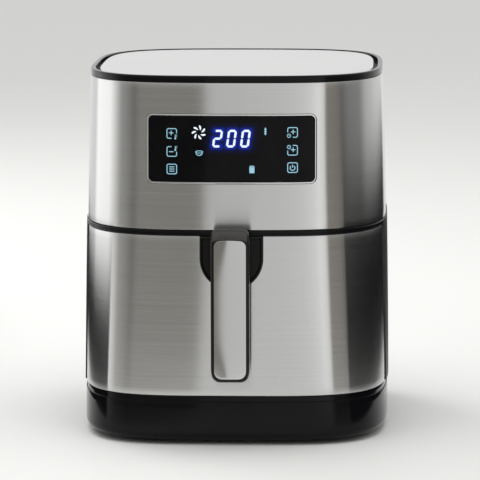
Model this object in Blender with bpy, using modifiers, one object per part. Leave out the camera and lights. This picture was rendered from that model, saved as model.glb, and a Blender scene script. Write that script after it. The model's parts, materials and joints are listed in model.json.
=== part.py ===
"""Drawer-type air fryer with a steel-clad body, a glass display and a sliding pan drawer.

Metres, +Z up, the front faces -Y. Every piece is placed from the body's upright axis, and
the whole model is moved along Y at the end so that the origin is under its middle.
"""
import math

import bmesh
import bpy
from mathutils import Matrix, Vector

# ---- body ------------------------------------------------------------------------------
HEIGHT = 0.330
BASE_HALF_W, BASE_HALF_D, BASE_SQUARE = 0.1388, 0.1640, 4.0
SEAM_HALF_W, SEAM_HALF_D, SEAM_SQUARE = 0.1370, 0.1562, 3.4
TOP_HALF_W, TOP_HALF_D, TOP_SQUARE = 0.1335, 0.1508, 3.4
SEAM_Z = 0.1929
GAP = 0.0003
FOOT_H = 0.0040
FOOT_R = 0.0110
FOOT_X, FOOT_Y = 0.0950, 0.1120
BASE_TOP = 0.0445
BASE_WALL = 0.0025
BASE_STEP = 0.0008
DECK_T = 0.0027
SHEET = 0.0010
SHELL_WALL = 0.0025
LOWER_PROUD = 0.0010
RING_H = 0.0060
RING_W = 0.0045
RING_LEDGE_Z = 0.3200
PLATE_INSET = 0.0080
OUTLINE_COUNT = 48
C_COUNT = 32

# ---- display ---------------------------------------------------------------------------
LENS_W, LENS_H, LENS_Z, LENS_R = 0.1475, 0.0585, 0.2652, 0.0040
LENS_T = 0.0025
BEZEL_W = 0.0014
BOARD_T = 0.0016

# ---- drawer ----------------------------------------------------------------------------
DRAWER_SPLIT_Y = -0.0740
WRAP_SPLIT_Y = 0.1050
TRIM_H = 0.0046
TRIM_PROUD = 0.0010
FRAME_T = 0.0030
PANEL_Y = -0.1120
PANEL_T = 0.0025
PANEL_SIDE_CLEAR = 0.0025
PANEL_BOSS_X, PANEL_BOSS_R = 0.0850, 0.0050
SHIELD_W, SHIELD_H, SHIELD_STRAIGHT, SHIELD_T = 0.0568, 0.0480, 0.0199, 0.0025
HANDLE_W = 0.0340
HANDLE_H = 0.1363
HANDLE_REACH = 0.0370
GRIP_T = 0.0130
NECK_H = 0.0360
INSERT_W, INSERT_H, INSERT_T = 0.0288, 0.1240, 0.0012
INSERT_DROP = 0.0090
HANDLE_TOP_R = 0.0090
SCREW_R, SCREW_HEAD_R, SCREW_HEAD_T = 0.0020, 0.0040, 0.0022
SCREW_CLEAR = 0.0003
SWITCH_Z, SWITCH_BACK = 0.1480, 0.0060

# ---- chamber and pan -------------------------------------------------------------------
LINER_SIDE_CLEAR = 0.0020
CHAMBER_BACK_Y = 0.1240
LINER_OVER_BASE = 0.0055
PAN_OVER_LINER = 0.0080
PAN_TOP = 0.1760
PAN_WALL, PAN_LIP, PAN_DRAFT, PAN_SQUARE = 0.0015, 0.0050, 0.0040, 4.0
LIP_T = 0.0015
SIDE_CLEAR = 0.0025
RUNNER_T = 0.0032
PLATE_RISE, PLATE_T, PLATE_CLEAR = 0.0180, 0.0015, 0.0035
PLATE_FOOT_R = 0.0070
PAN_SCREW_X, PAN_SCREW_Z = 0.0250, 0.1300
BRACKET_W, BRACKET_H = 0.0700, 0.0400

# ---- heater, fan and motor -------------------------------------------------------------
MID_DECK_T = 0.0024
DECK_HOLE_R = 0.1050
GUARD_R, GUARD_T = 0.1090, 0.0012
DOME_R, DOME_H, DOME_T, DOME_FLANGE = 0.1040, 0.0415, 0.0008, 0.0080
COIL_R, COIL_STEP, COIL_TUBE, COIL_Z = 0.0810, 0.0070, 0.0028, 0.2050
COIL_RISE_Z = 0.2560
SHAFT_R, SHAFT_LOW, SHAFT_HIGH = 0.0030, 0.2080, 0.3000
BORE_R = SHAFT_R + GAP
HOT_FAN_R, HOT_FAN_LOW, HOT_FAN_H = 0.0750, 0.2125, 0.0175
COOL_FAN_R, COOL_FAN_LOW, COOL_FAN_H = 0.0480, 0.2840, 0.0120
BRIDGE_Z, BRIDGE_T, BRIDGE_HALF_W, BRIDGE_D = 0.2460, 0.0015, 0.1185, 0.0500
BEARING_R = 0.0080
STATOR_W, STATOR_H, STATOR_BORE_R = 0.0660, 0.0280, 0.0176
ROTOR_R = 0.0170

# ---- rear ------------------------------------------------------------------------------
VENT_COUNT, VENT_W, VENT_H, VENT_PITCH, VENT_LOW = 7, 0.0840, 0.0036, 0.0070, 0.2550
DUCT_HALF_W, DUCT_LOW, DUCT_HIGH, DUCT_T = 0.0450, 0.2520, 0.3000, 0.0015
DUCT_FRONT_Y = 0.0600
GLAND_Z, GLAND_R, GLAND_REACH = 0.0720, 0.0067, 0.0050

# ---- worked out from the sizes above ---------------------------------------------------
SKIN_LOW = BASE_TOP + GAP
TRIM_LOW = SEAM_Z - GAP - TRIM_H
SKIN_HIGH = TRIM_LOW - GAP
UPPER_LOW = SEAM_Z + GAP
RING_LOW = HEIGHT - RING_H
LINER_LOW = BASE_TOP + LINER_OVER_BASE
PAN_LOW = LINER_LOW + PAN_OVER_LINER
PLATE_Z = PAN_LOW + PLATE_RISE
PAN_FRONT_Y = PANEL_Y + GAP + PAN_LIP
PAN_BACK_Y = CHAMBER_BACK_Y - SIDE_CLEAR - PAN_LIP
PAN_Y = (PAN_FRONT_Y + PAN_BACK_Y) / 2
PAN_HALF_D = (PAN_BACK_Y - PAN_FRONT_Y) / 2
FAN_Y = PAN_Y
MID_DECK_LOW = UPPER_LOW + GAP
DOME_LOW = MID_DECK_LOW + MID_DECK_T + GAP
BRIDGE_LOW = DOME_LOW
HANDLE_FRONT_Y = -SEAM_HALF_D - HANDLE_REACH
NECK_TOP = SEAM_Z - 0.0015
HANDLE_TOP = SEAM_Z + 0.0050
HANDLE_SCREWS_Z = (NECK_TOP - 0.0115, NECK_TOP - 0.0285)

FINISHES = {
    "steel": ((0.60, 0.59, 0.56), 0.30, 1.0),
    "bright_steel": ((0.72, 0.71, 0.69), 0.16, 1.0),
    "aluminised": ((0.62, 0.63, 0.64), 0.38, 1.0),
    "gloss_black": ((0.010, 0.010, 0.011), 0.10, 0.0),
    "matte_black": ((0.020, 0.020, 0.021), 0.48, 0.0),
    "display_glass": ((0.006, 0.006, 0.008), 0.04, 0.0),
    "silicone": ((0.045, 0.045, 0.047), 0.70, 0.0),
    "nonstick": ((0.030, 0.030, 0.032), 0.34, 0.0),
    "circuit_board": ((0.030, 0.160, 0.070), 0.45, 0.0),
    "light_plastic": ((0.78, 0.78, 0.74), 0.50, 0.0),
    "heater": ((0.110, 0.085, 0.075), 0.50, 1.0),
    "laminate": ((0.230, 0.220, 0.210), 0.42, 1.0),
    "bronze": ((0.500, 0.330, 0.160), 0.35, 1.0),
}

PARTS = None
CUTTERS = None


# ---- scene and object helpers ----------------------------------------------------------
def clear_scene():
    for item in list(bpy.data.objects):
        bpy.data.objects.remove(item, do_unlink=True)


def make_collection(name):
    group = bpy.data.collections.new(name)
    bpy.context.scene.collection.children.link(group)
    return group


def finish_material(name, finish):
    colour, roughness, metallic = FINISHES[finish]
    surface = bpy.data.materials.new(name)
    surface.use_nodes = True
    shader = surface.node_tree.nodes["Principled BSDF"]
    shader.inputs["Base Color"].default_value = (*colour, 1.0)
    shader.inputs["Roughness"].default_value = roughness
    shader.inputs["Metallic"].default_value = metallic
    return surface


def add_part(name, mesh, finish, smooth=35.0):
    mesh.name = name
    mesh.shade_smooth()
    mesh.set_sharp_from_angle(angle=math.radians(smooth))
    part = bpy.data.objects.new(name, mesh)
    PARTS.objects.link(part)
    mesh.materials.append(finish_material(name, finish))
    return part


def add_cutter(name, mesh):
    cutter = bpy.data.objects.new(name, mesh)
    CUTTERS.objects.link(cutter)
    cutter.hide_render = True
    cutter.display_type = "WIRE"
    return cutter


def mesh_from(bm, name):
    bmesh.ops.recalc_face_normals(bm, faces=bm.faces)
    mesh = bpy.data.meshes.new(name)
    bm.to_mesh(mesh)
    bm.free()
    return mesh


def boolean(target, cutter, operation="DIFFERENCE"):
    modifier = target.modifiers.new(cutter.name, "BOOLEAN")
    modifier.object = cutter
    modifier.operation = operation
    modifier.solver = "EXACT"
    return modifier


def box_mesh(name, low, high):
    low, high = Vector(low), Vector(high)
    bm = bmesh.new()
    bmesh.ops.create_cube(bm, size=1.0)
    bmesh.ops.scale(bm, vec=high - low, verts=bm.verts)
    bmesh.ops.translate(bm, vec=(low + high) / 2, verts=bm.verts)
    return mesh_from(bm, name)


def box_part(name, low, high, finish, bevel=0.0004):
    part = add_part(name, box_mesh(name, low, high), finish)
    rounded = part.modifiers.new("edges", "BEVEL")
    rounded.width = bevel
    rounded.segments = 1
    return part


def cylinders_mesh(name, rods, segments=20):
    """One mesh of straight rods, each given by its two end centres and its radius."""
    bm = bmesh.new()
    for start, end, radius in rods:
        start, end = Vector(start), Vector(end)
        run = end - start
        turn = run.to_track_quat("Z", "Y").to_matrix().to_4x4()
        place = Matrix.Translation((start + end) / 2) @ turn
        bmesh.ops.create_cone(bm, cap_ends=True, segments=segments, radius1=radius,
                              radius2=radius, depth=run.length, matrix=place)
    return mesh_from(bm, name)


def turned(name, profile, centre_y, finish, steps=32, axis="Z", centre_z=0.0):
    """Turn a closed profile of (radius, height) points, outer side downwards first."""
    mesh = bpy.data.meshes.new(name)
    points = [(radius, 0.0, height) for radius, height in profile]
    edges = [(i, (i + 1) % len(points)) for i in range(len(points))]
    mesh.from_pydata(points, edges, [])
    part = add_part(name, mesh, finish)
    screw = part.modifiers.new("turn", "SCREW")
    screw.axis = "Z"
    screw.angle = math.tau
    screw.steps = steps
    screw.render_steps = steps
    screw.use_merge_vertices = True
    screw.merge_threshold = 0.00001
    part.location = (0.0, centre_y, centre_z)
    if axis == "Y":
        part.rotation_euler = (math.radians(-90), 0.0, 0.0)
    return part


def curve_mesh(name, curve):
    """Turn a curve into a closed mesh whose caps are welded to its walls."""
    holder = bpy.data.objects.new(name, curve)
    bpy.context.scene.collection.objects.link(holder)
    bpy.context.view_layer.update()
    graph = bpy.context.evaluated_depsgraph_get()
    mesh = bpy.data.meshes.new_from_object(holder.evaluated_get(graph))
    bpy.data.objects.remove(holder, do_unlink=True)
    bm = bmesh.new()
    bm.from_mesh(mesh)
    bmesh.ops.remove_doubles(bm, verts=bm.verts, dist=0.00001)
    bmesh.ops.recalc_face_normals(bm, faces=bm.faces)
    bm.to_mesh(mesh)
    bm.free()
    return mesh


def prism_mesh(name, outlines, low, high, plane="XY"):
    """Extrude flat outlines, the first one solid and the others holes, from low to high.

    Plane XY extrudes along Z, XZ along Y and YZ along X.
    """
    curve = bpy.data.curves.new(name, "CURVE")
    curve.dimensions = "2D"
    curve.fill_mode = "BOTH"
    curve.extrude = (high - low) / 2
    for outline in outlines:
        spline = curve.splines.new("POLY")
        spline.points.add(len(outline) - 1)
        for point, (u, v) in zip(spline.points, outline):
            point.co = (u, v, 0.0, 1.0)
        spline.use_cyclic_u = True
    mesh = curve_mesh(name, curve)
    middle = (low + high) / 2
    axes = {
        "XY": Matrix.Translation((0, 0, middle)),
        "XZ": Matrix.Translation((0, middle, 0)) @ Matrix.Rotation(math.radians(90), 4, "X"),
        "YZ": Matrix(((0, 0, 1, middle), (1, 0, 0, 0), (0, 1, 0, 0), (0, 0, 0, 1))),
    }
    mesh.transform(axes[plane])
    return mesh


def rounded_rectangle(width, height, radius, centre=(0.0, 0.0), steps=4):
    points = []
    corners = ((1, 1, 0), (-1, 1, 90), (-1, -1, 180), (1, -1, 270))
    for side_x, side_y, start in corners:
        for step in range(steps + 1):
            angle = math.radians(start + 90 * step / steps)
            points.append((centre[0] + side_x * (width / 2 - radius) + radius * math.cos(angle),
                           centre[1] + side_y * (height / 2 - radius) + radius * math.sin(angle)))
    return points


def circle(radius, centre=(0.0, 0.0), count=12):
    return [(centre[0] + radius * math.cos(math.tau * i / count),
             centre[1] + radius * math.sin(math.tau * i / count)) for i in range(count)]


def loft(name, rings, cyclic=False):
    """Join rings of equal length into a solid: capped at both ends, or closed on itself."""
    bm = bmesh.new()
    loops = [[bm.verts.new(point) for point in ring] for ring in rings]
    followers = loops[1:] + (loops[:1] if cyclic else [])
    for low, high in zip(loops, followers):
        for i in range(len(low)):
            j = (i + 1) % len(low)
            bm.faces.new((low[i], low[j], high[j], high[i]))
    if not cyclic:
        bm.faces.new(loops[0])
        bm.faces.new(loops[-1])
    return mesh_from(bm, name)


# ---- the body's outline ----------------------------------------------------------------
def through(low, middle, high, z):
    """The quadratic that passes through the base, seam and top values."""
    u, seam = z / HEIGHT, SEAM_Z / HEIGHT
    return (low * (u - seam) * (u - 1) / seam
            + middle * u * (u - 1) / (seam * (seam - 1))
            + high * u * (u - seam) / (1 - seam))


def section(z):
    """Half width, half depth and squareness of the body at height z."""
    return (through(BASE_HALF_W, SEAM_HALF_W, TOP_HALF_W, z),
            through(BASE_HALF_D, SEAM_HALF_D, TOP_HALF_D, z),
            through(BASE_SQUARE, SEAM_SQUARE, TOP_SQUARE, z))


def oval_point(half_w, half_d, square, turn, inset=0.0):
    """A point on a superellipse, moved inwards along its normal by the inset."""
    spread = (1 + 2 / square) / 2
    c, s = math.cos(turn), math.sin(turn)
    u = math.copysign(abs(c) ** spread, c)
    v = math.copysign(abs(s) ** spread, s)
    size = (abs(u) ** square + abs(v) ** square) ** (-1 / square)
    x, y = half_w * u * size, half_d * v * size
    normal = Vector((math.copysign(abs(x / half_w) ** (square - 1) / half_w, x),
                     math.copysign(abs(y / half_d) ** (square - 1) / half_d, y)))
    normal.normalize()
    return x - inset * normal.x, y - inset * normal.y


def side_turn(z, y):
    """The turn at which the right-hand side of the body's outline reaches y."""
    half_w, half_d, square = section(z)
    x = half_w * (1 - abs(y / half_d) ** square) ** (1 / square)
    spread = (1 + 2 / square) / 2
    ratio = (abs(y) / half_d) / (x / half_w)
    return math.copysign(math.atan(ratio ** (1 / spread)), y)


def body_ring(z, inset, count=OUTLINE_COUNT):
    half_w, half_d, square = section(z)
    turns = [math.tau * (i + 0.5) / count for i in range(count)]
    return [(*oval_point(half_w, half_d, square, turn, inset), z) for turn in turns]


def body_arc(z, inset, split_y, rear=False, count=C_COUNT):
    """The part of the outline in front of the split, or behind it, from end to end."""
    half_w, half_d, square = section(z)
    side = side_turn(z, split_y)
    start, end = (side, math.pi - side) if rear else (side, -math.pi - side)
    turns = [start + (end - start) * i / (count - 1) for i in range(count)]
    return [(*oval_point(half_w, half_d, square, turn, inset), z) for turn in turns]


def surface_y(x, z, inset=0.0):
    """The front surface's y at a place across the body."""
    half_w, half_d, square = section(z)
    return -half_d * (1 - abs(x / half_w) ** square) ** (1 / square) + inset


def side_x(y, z, inset=0.0):
    """The right-hand surface's x at a place along the body."""
    half_w, half_d, square = section(z)
    return half_w * (1 - abs(y / half_d) ** square) ** (1 / square) - inset


# ---- widths that follow the drawer front's inner side ----------------------------------
FRAME_SIDES = [side_x(PANEL_Y, z, SHEET + GAP + FRAME_T) for z in (LINER_LOW, SEAM_Z)]
LINER_HALF_W = min(FRAME_SIDES) - LINER_SIDE_CLEAR
PANEL_HALF_W = min(FRAME_SIDES) - PANEL_SIDE_CLEAR
LIP_HALF_W = LINER_HALF_W - SHEET - SIDE_CLEAR
PAN_HALF_W = LIP_HALF_W - PAN_LIP


def heights(low, high, count):
    return [low + (high - low) * i / (count - 1) for i in range(count)]


def sheet_mesh(name, rows):
    """An open surface through rows of points."""
    bm = bmesh.new()
    grid = [[bm.verts.new(point) for point in row] for row in rows]
    for low, high in zip(grid, grid[1:]):
        for i in range(len(low) - 1):
            bm.faces.new((low[i], low[i + 1], high[i + 1], high[i]))
    return mesh_from(bm, name)


def thicken(part, thickness, inwards):
    """Thicken an open surface towards the body's axis, whichever way its faces point."""
    face = part.data.polygons[0]
    outward = face.normal.dot(Vector((face.center.x, face.center.y, 0.0))) > 0
    solid = part.modifiers.new("thickness", "SOLIDIFY")
    solid.thickness = thickness
    solid.use_even_offset = True
    solid.offset = -1.0 if outward == inwards else 1.0
    return solid


def clad(name, low, high, split_y, inset, thickness, finish, rear=False, levels=5):
    rows = [body_arc(z, inset, split_y, rear) for z in heights(low, high, levels)]
    part = add_part(name, sheet_mesh(name, rows), finish)
    thicken(part, thickness, True)
    return part


def front_patch(name, half_w, low, high, inset, thickness, finish, columns=12, levels=3):
    """A piece of the front surface, wider than the shape that will be cut out of it."""
    rows = []
    for z in heights(low, high, levels):
        across = heights(-half_w, half_w, columns)
        rows.append([(x, surface_y(x, z, inset), z) for x in across])
    part = add_part(name, sheet_mesh(name, rows), finish)
    thicken(part, thickness, True)
    return part


# ---- housing ---------------------------------------------------------------------------
def make_base_shell():
    floor = FOOT_H + BASE_WALL + 0.0002
    rings = [
        (floor, 0.0100),
        (floor + 0.0016, 0.0062),
        (0.0120, BASE_STEP + BASE_WALL),
        (BASE_TOP, BASE_STEP + BASE_WALL),
        (BASE_TOP, BASE_STEP),
        (BASE_TOP - 0.0053, BASE_STEP),
        (BASE_TOP - 0.0057, 0.0),
        (0.0120, 0.0),
        (0.0070, 0.0012),
        (0.0046, 0.0040),
        (FOOT_H, 0.0070),
    ]
    mesh = loft("base_shell", [body_ring(z, inset) for z, inset in rings])
    part = add_part("base_shell", mesh, "gloss_black")
    posts = []
    for x in (-FOOT_X, FOOT_X):
        for y in (-FOOT_Y, FOOT_Y):
            posts.append(((x, y, floor - 0.001), (x, y, BASE_TOP - DECK_T - 2 * GAP), 0.005))
    boolean(part, add_cutter("base_posts", cylinders_mesh("base_posts", posts, 12)), "UNION")


def make_base_deck():
    inset = BASE_STEP + BASE_WALL + 2 * GAP
    rings = [body_ring(z, inset) for z in (BASE_TOP - DECK_T - GAP, BASE_TOP - GAP)]
    add_part("base_deck", loft("base_deck", rings), "matte_black")


def make_feet():
    for row, y in (("front", -FOOT_Y), ("rear", FOOT_Y)):
        for side, x in (("left", -FOOT_X), ("right", FOOT_X)):
            name = f"foot_{row}_{side}"
            profile = [(0.0, FOOT_H - GAP), (FOOT_R, FOOT_H - GAP), (FOOT_R - 0.0005, 0.0004),
                       (FOOT_R - 0.0012, 0.0), (0.0, 0.0)]
            mesh = bpy.data.meshes.new(name)
            edges = [(i, i + 1) for i in range(len(profile) - 1)]
            mesh.from_pydata([(r, 0.0, z) for r, z in profile], edges, [])
            part = add_part(name, mesh, "silicone")
            screw = part.modifiers.new("turn", "SCREW")
            screw.steps = screw.render_steps = 20
            screw.use_merge_vertices = True
            screw.merge_threshold = 0.00001
            part.location = (x, y, 0.0)


def make_lower_shell():
    part = clad("lower_shell", SKIN_LOW, SEAM_Z - GAP, DRAWER_SPLIT_Y + 2 * GAP, -LOWER_PROUD,
                SHELL_WALL, "matte_black", rear=True, levels=3)
    half_d = section(GLAND_Z)[1]
    hole = [((0, half_d - 0.02, GLAND_Z), (0, half_d + 0.02, GLAND_Z), GLAND_R + GAP)]
    boolean(part, add_cutter("gland_hole", cylinders_mesh("gland_hole", hole, 24)))


def make_upper_shells():
    window = rounded_rectangle(LENS_W + 2 * (BEZEL_W + 2 * GAP), LENS_H + 2 * (BEZEL_W + 2 * GAP),
                               LENS_R + BEZEL_W + 2 * GAP, (0.0, LENS_Z))
    mesh = prism_mesh("display_window", [window], -SEAM_HALF_D - 0.02, -SEAM_HALF_D + 0.04, "XZ")
    cutter = add_cutter("display_window", mesh)
    wrap = clad("upper_wrap", UPPER_LOW, RING_LOW - GAP, WRAP_SPLIT_Y, 0.0, SHEET, "steel",
                levels=5)
    boolean(wrap, cutter)
    body = clad("upper_body", UPPER_LOW, RING_LEDGE_Z - GAP, WRAP_SPLIT_Y, SHEET + GAP,
                SHELL_WALL, "matte_black", levels=5)
    boolean(body, cutter)


def make_rear_cover():
    part = clad("rear_cover", UPPER_LOW, RING_LOW - GAP, WRAP_SPLIT_Y + 2 * GAP, 0.0,
                SHELL_WALL, "matte_black", rear=True, levels=4)
    bm = bmesh.new()
    for i in range(VENT_COUNT):
        size = Matrix.Diagonal((VENT_W, 0.03, VENT_H, 1.0))
        place = Matrix.Translation((0.0, SEAM_HALF_D - 0.004, VENT_LOW + i * VENT_PITCH))
        bmesh.ops.create_cube(bm, size=1.0, matrix=place @ size)
    boolean(part, add_cutter("rear_vents", mesh_from(bm, "rear_vents")))


def make_top():
    skirt = SHELL_WALL + 2 * GAP
    ring = [
        (RING_LOW, 0.0),
        (HEIGHT - 0.0008, 0.0),
        (HEIGHT, 0.0008),
        (HEIGHT, RING_W - 0.0006),
        (HEIGHT - 0.0006, RING_W),
        (RING_LEDGE_Z + 0.0025, RING_W),
        (RING_LEDGE_Z + 0.0025, 0.0160),
        (RING_LEDGE_Z, 0.0160),
        (RING_LEDGE_Z, skirt),
        (RING_LOW, skirt),
    ]
    mesh = loft("top_ring", [body_ring(z, inset) for z, inset in ring], cyclic=True)
    add_part("top_ring", mesh, "gloss_black")
    low = RING_LEDGE_Z + 0.0025 + GAP
    plate = [
        (HEIGHT - 0.0014, PLATE_INSET + 0.0030),
        (HEIGHT - 0.0020, PLATE_INSET + 0.0014),
        (low, PLATE_INSET + SHEET),
        (low, PLATE_INSET),
        (HEIGHT - 0.0024, PLATE_INSET),
        (HEIGHT - 0.0010, PLATE_INSET + 0.0006),
        (HEIGHT - 0.0004, PLATE_INSET + 0.0025),
    ]
    mesh = loft("top_plate", [body_ring(z, inset) for z, inset in plate])
    add_part("top_plate", mesh, "bright_steel")


# ---- display ---------------------------------------------------------------------------
def make_display():
    low, high = LENS_Z - LENS_H / 2, LENS_Z + LENS_H / 2
    front, back = -SEAM_HALF_D - 0.02, -SEAM_HALF_D + 0.04
    glass = rounded_rectangle(LENS_W, LENS_H, LENS_R, (0.0, LENS_Z))
    around = rounded_rectangle(LENS_W + 2 * GAP, LENS_H + 2 * GAP, LENS_R + GAP, (0.0, LENS_Z))
    rim = rounded_rectangle(LENS_W + 2 * (BEZEL_W + GAP), LENS_H + 2 * (BEZEL_W + GAP),
                            LENS_R + BEZEL_W + GAP, (0.0, LENS_Z))
    half_w = LENS_W / 2 + 0.006
    lens = front_patch("display_lens", half_w, low - 0.006, high + 0.006, -0.0002, LENS_T,
                       "display_glass")
    cutter = add_cutter("lens_outline", prism_mesh("lens_outline", [glass], front, back, "XZ"))
    boolean(lens, cutter, "INTERSECT")
    frame = front_patch("display_frame", half_w, low - 0.006, high + 0.006, -0.0005, LENS_T,
                        "bright_steel")
    cutter = add_cutter("frame_outline",
                        prism_mesh("frame_outline", [rim, around], front, back, "XZ"))
    boolean(frame, cutter, "INTERSECT")
    guide_half_w = LENS_W / 2 - 0.0075
    guide_front = surface_y(guide_half_w, high - 0.005, LENS_T)
    guide_back = guide_front + 0.0043
    box_part("light_guide", (-guide_half_w, guide_front, low + 0.005),
             (guide_half_w, guide_back, high - 0.005), "light_plastic")
    board_front = guide_back + GAP
    board_half_w = guide_half_w + 0.002
    box_part("control_board", (-board_half_w, board_front, low + 0.003),
             (board_half_w, board_front + BOARD_T, high - 0.003), "circuit_board", 0.0002)


# ---- cooking chamber -------------------------------------------------------------------
def chamber_outline(inset, front_y, count=20):
    """Straight sides and a rounded back, open towards the front."""
    half_w = LINER_HALF_W - inset
    half_d = CHAMBER_BACK_Y + SHEET - PAN_Y - inset
    points = [(half_w, front_y)]
    for i in range(count + 1):
        x, y = oval_point(half_w, half_d, PAN_SQUARE, math.pi * i / count)
        points.append((x, PAN_Y + y))
    points.append((-half_w, front_y))
    return points


def make_chamber():
    front = PANEL_Y + 2 * GAP
    top = MID_DECK_LOW - GAP
    outer = prism_mesh("chamber_liner", [chamber_outline(0.0, front)], LINER_LOW, top)
    part = add_part("chamber_liner", outer, "aluminised")
    inner = prism_mesh("chamber_space", [chamber_outline(SHEET, front - 0.01)],
                       LINER_LOW + SHEET, top + 0.01)
    boolean(part, add_cutter("chamber_space", inner))
    high = PAN_TOP - LIP_T - GAP
    for side, sign in (("left", -1), ("right", 1)):
        reach = (PAN_HALF_W + 0.002, LINER_HALF_W - SHEET - GAP)
        xs = sorted(sign * value for value in reach)
        box_part(f"runner_{side}", (xs[0], front + 0.002, high - RUNNER_T),
                 (xs[1], PAN_Y + 0.025, high), "aluminised", 0.0003)


def make_mid_deck():
    inset = SHEET + SHELL_WALL + 3 * GAP
    rings = [body_ring(z, inset) for z in (MID_DECK_LOW, MID_DECK_LOW + MID_DECK_T)]
    part = add_part("mid_deck", loft("mid_deck", rings), "matte_black")
    low, high = MID_DECK_LOW - 0.01, MID_DECK_LOW + 0.01
    holes = [((0, FAN_Y, low), (0, FAN_Y, high), DECK_HOLE_R)]
    boolean(part, add_cutter("fan_opening", cylinders_mesh("fan_opening", holes, 36)))
    x, y = probe_place()
    holes = [((x, y, low), (x, y, high), 0.0022 + GAP)]
    boolean(part, add_cutter("probe_hole", cylinders_mesh("probe_hole", holes, 12)))


def probe_place():
    return -0.72 * LINER_HALF_W, FAN_Y + 0.72 * LINER_HALF_W


def make_probe_and_fuse():
    x, y = probe_place()
    deck = MID_DECK_LOW + MID_DECK_T + GAP
    profile = [(0.0048, deck + 0.0030), (0.0048, deck), (0.0022, deck - GAP),
               (0.0022, PAN_TOP + 0.005), (0.0008, PAN_TOP + 0.004), (0.0008, deck + 0.0030)]
    part = turned("thermistor_probe", profile, y, "bright_steel", steps=14)
    part.location.x = x
    low = DOME_LOW + DOME_H + GAP
    box_part("thermal_fuse", (-0.011, FAN_Y + 0.040, low), (0.011, FAN_Y + 0.050, low + 0.006),
             "light_plastic")


def make_guard():
    """A flat grille of rings and spokes under the fan opening."""
    high = MID_DECK_LOW - GAP
    outlines = [circle(GUARD_R, (0.0, FAN_Y), 36)]
    bands, sectors, bar = 3, 6, 0.0030
    first, last = 0.010, GUARD_R - 0.006
    for band in range(bands):
        inner = first + (last - first) * band / bands + bar / 2
        outer = first + (last - first) * (band + 1) / bands - bar / 2
        for sector in range(sectors):
            middle = math.tau * (sector + 0.5 * (band % 2)) / sectors
            window = []
            for radius, way in ((inner, 1), (outer, -1)):
                half = math.pi / sectors - bar / 2 / radius
                for step in range(4):
                    angle = middle + way * half * (step / 1.5 - 1)
                    window.append((radius * math.cos(angle), FAN_Y + radius * math.sin(angle)))
            outlines.append(window)
    mesh = prism_mesh("heater_guard", outlines, high - GUARD_T, high)
    add_part("heater_guard", mesh, "bright_steel")


def make_reflector():
    top = DOME_LOW + DOME_H
    t = DOME_T
    profile = [
        (0.0070, top), (DOME_R - 0.0040, top), (DOME_R, top - 0.0040), (DOME_R + t, DOME_LOW + t),
        (DOME_R + DOME_FLANGE, DOME_LOW + t), (DOME_R + DOME_FLANGE, DOME_LOW),
        (DOME_R, DOME_LOW), (DOME_R - t, top - 0.0043), (DOME_R - 0.0043, top - t),
        (0.0070, top - t),
    ]
    part = turned("heater_reflector", profile, FAN_Y, "aluminised", steps=30)
    holes = [((r, FAN_Y, top - 0.01), (r, FAN_Y, top + 0.01), COIL_TUBE + 2 * GAP)
             for r in (COIL_R, COIL_R + 2 * COIL_STEP)]
    boolean(part, add_cutter("coil_holes", cylinders_mesh("coil_holes", holes, 14)))


def make_heating_element():
    """A flat spiral of two turns whose ends rise through the reflector."""
    turns, per_turn = 2, 20
    points = [(COIL_R, FAN_Y, COIL_RISE_Z), (COIL_R, FAN_Y, COIL_Z + 0.006)]
    for i in range(1, turns * per_turn):
        angle = math.tau * i / per_turn
        radius = COIL_R + COIL_STEP * i / per_turn
        points.append((radius * math.cos(angle), FAN_Y + radius * math.sin(angle), COIL_Z))
    end = COIL_R + turns * COIL_STEP
    points += [(end, FAN_Y, COIL_Z + 0.006), (end, FAN_Y, COIL_RISE_Z)]
    curve = bpy.data.curves.new("heating_element", "CURVE")
    curve.dimensions = "3D"
    curve.bevel_depth = COIL_TUBE
    curve.bevel_resolution = 2
    curve.use_fill_caps = True
    spline = curve.splines.new("POLY")
    spline.points.add(len(points) - 1)
    for point, place in zip(spline.points, points):
        point.co = (*place, 1.0)
    add_part("heating_element", curve_mesh("heating_element", curve), "heater", 60)


def make_heater_clips():
    high = COIL_Z - COIL_TUBE - GAP
    for name, degrees in (("heater_clip_front", -90), ("heater_clip_rear", 90)):
        outer = DOME_R - DOME_T - 2 * GAP
        part = box_part(name, (COIL_R - 0.006, -0.002, high - 0.003), (outer, 0.002, high),
                        "bright_steel", 0.0003)
        part.rotation_euler.z = math.radians(degrees)
        part.location = (0.0, FAN_Y, 0.0)


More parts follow.
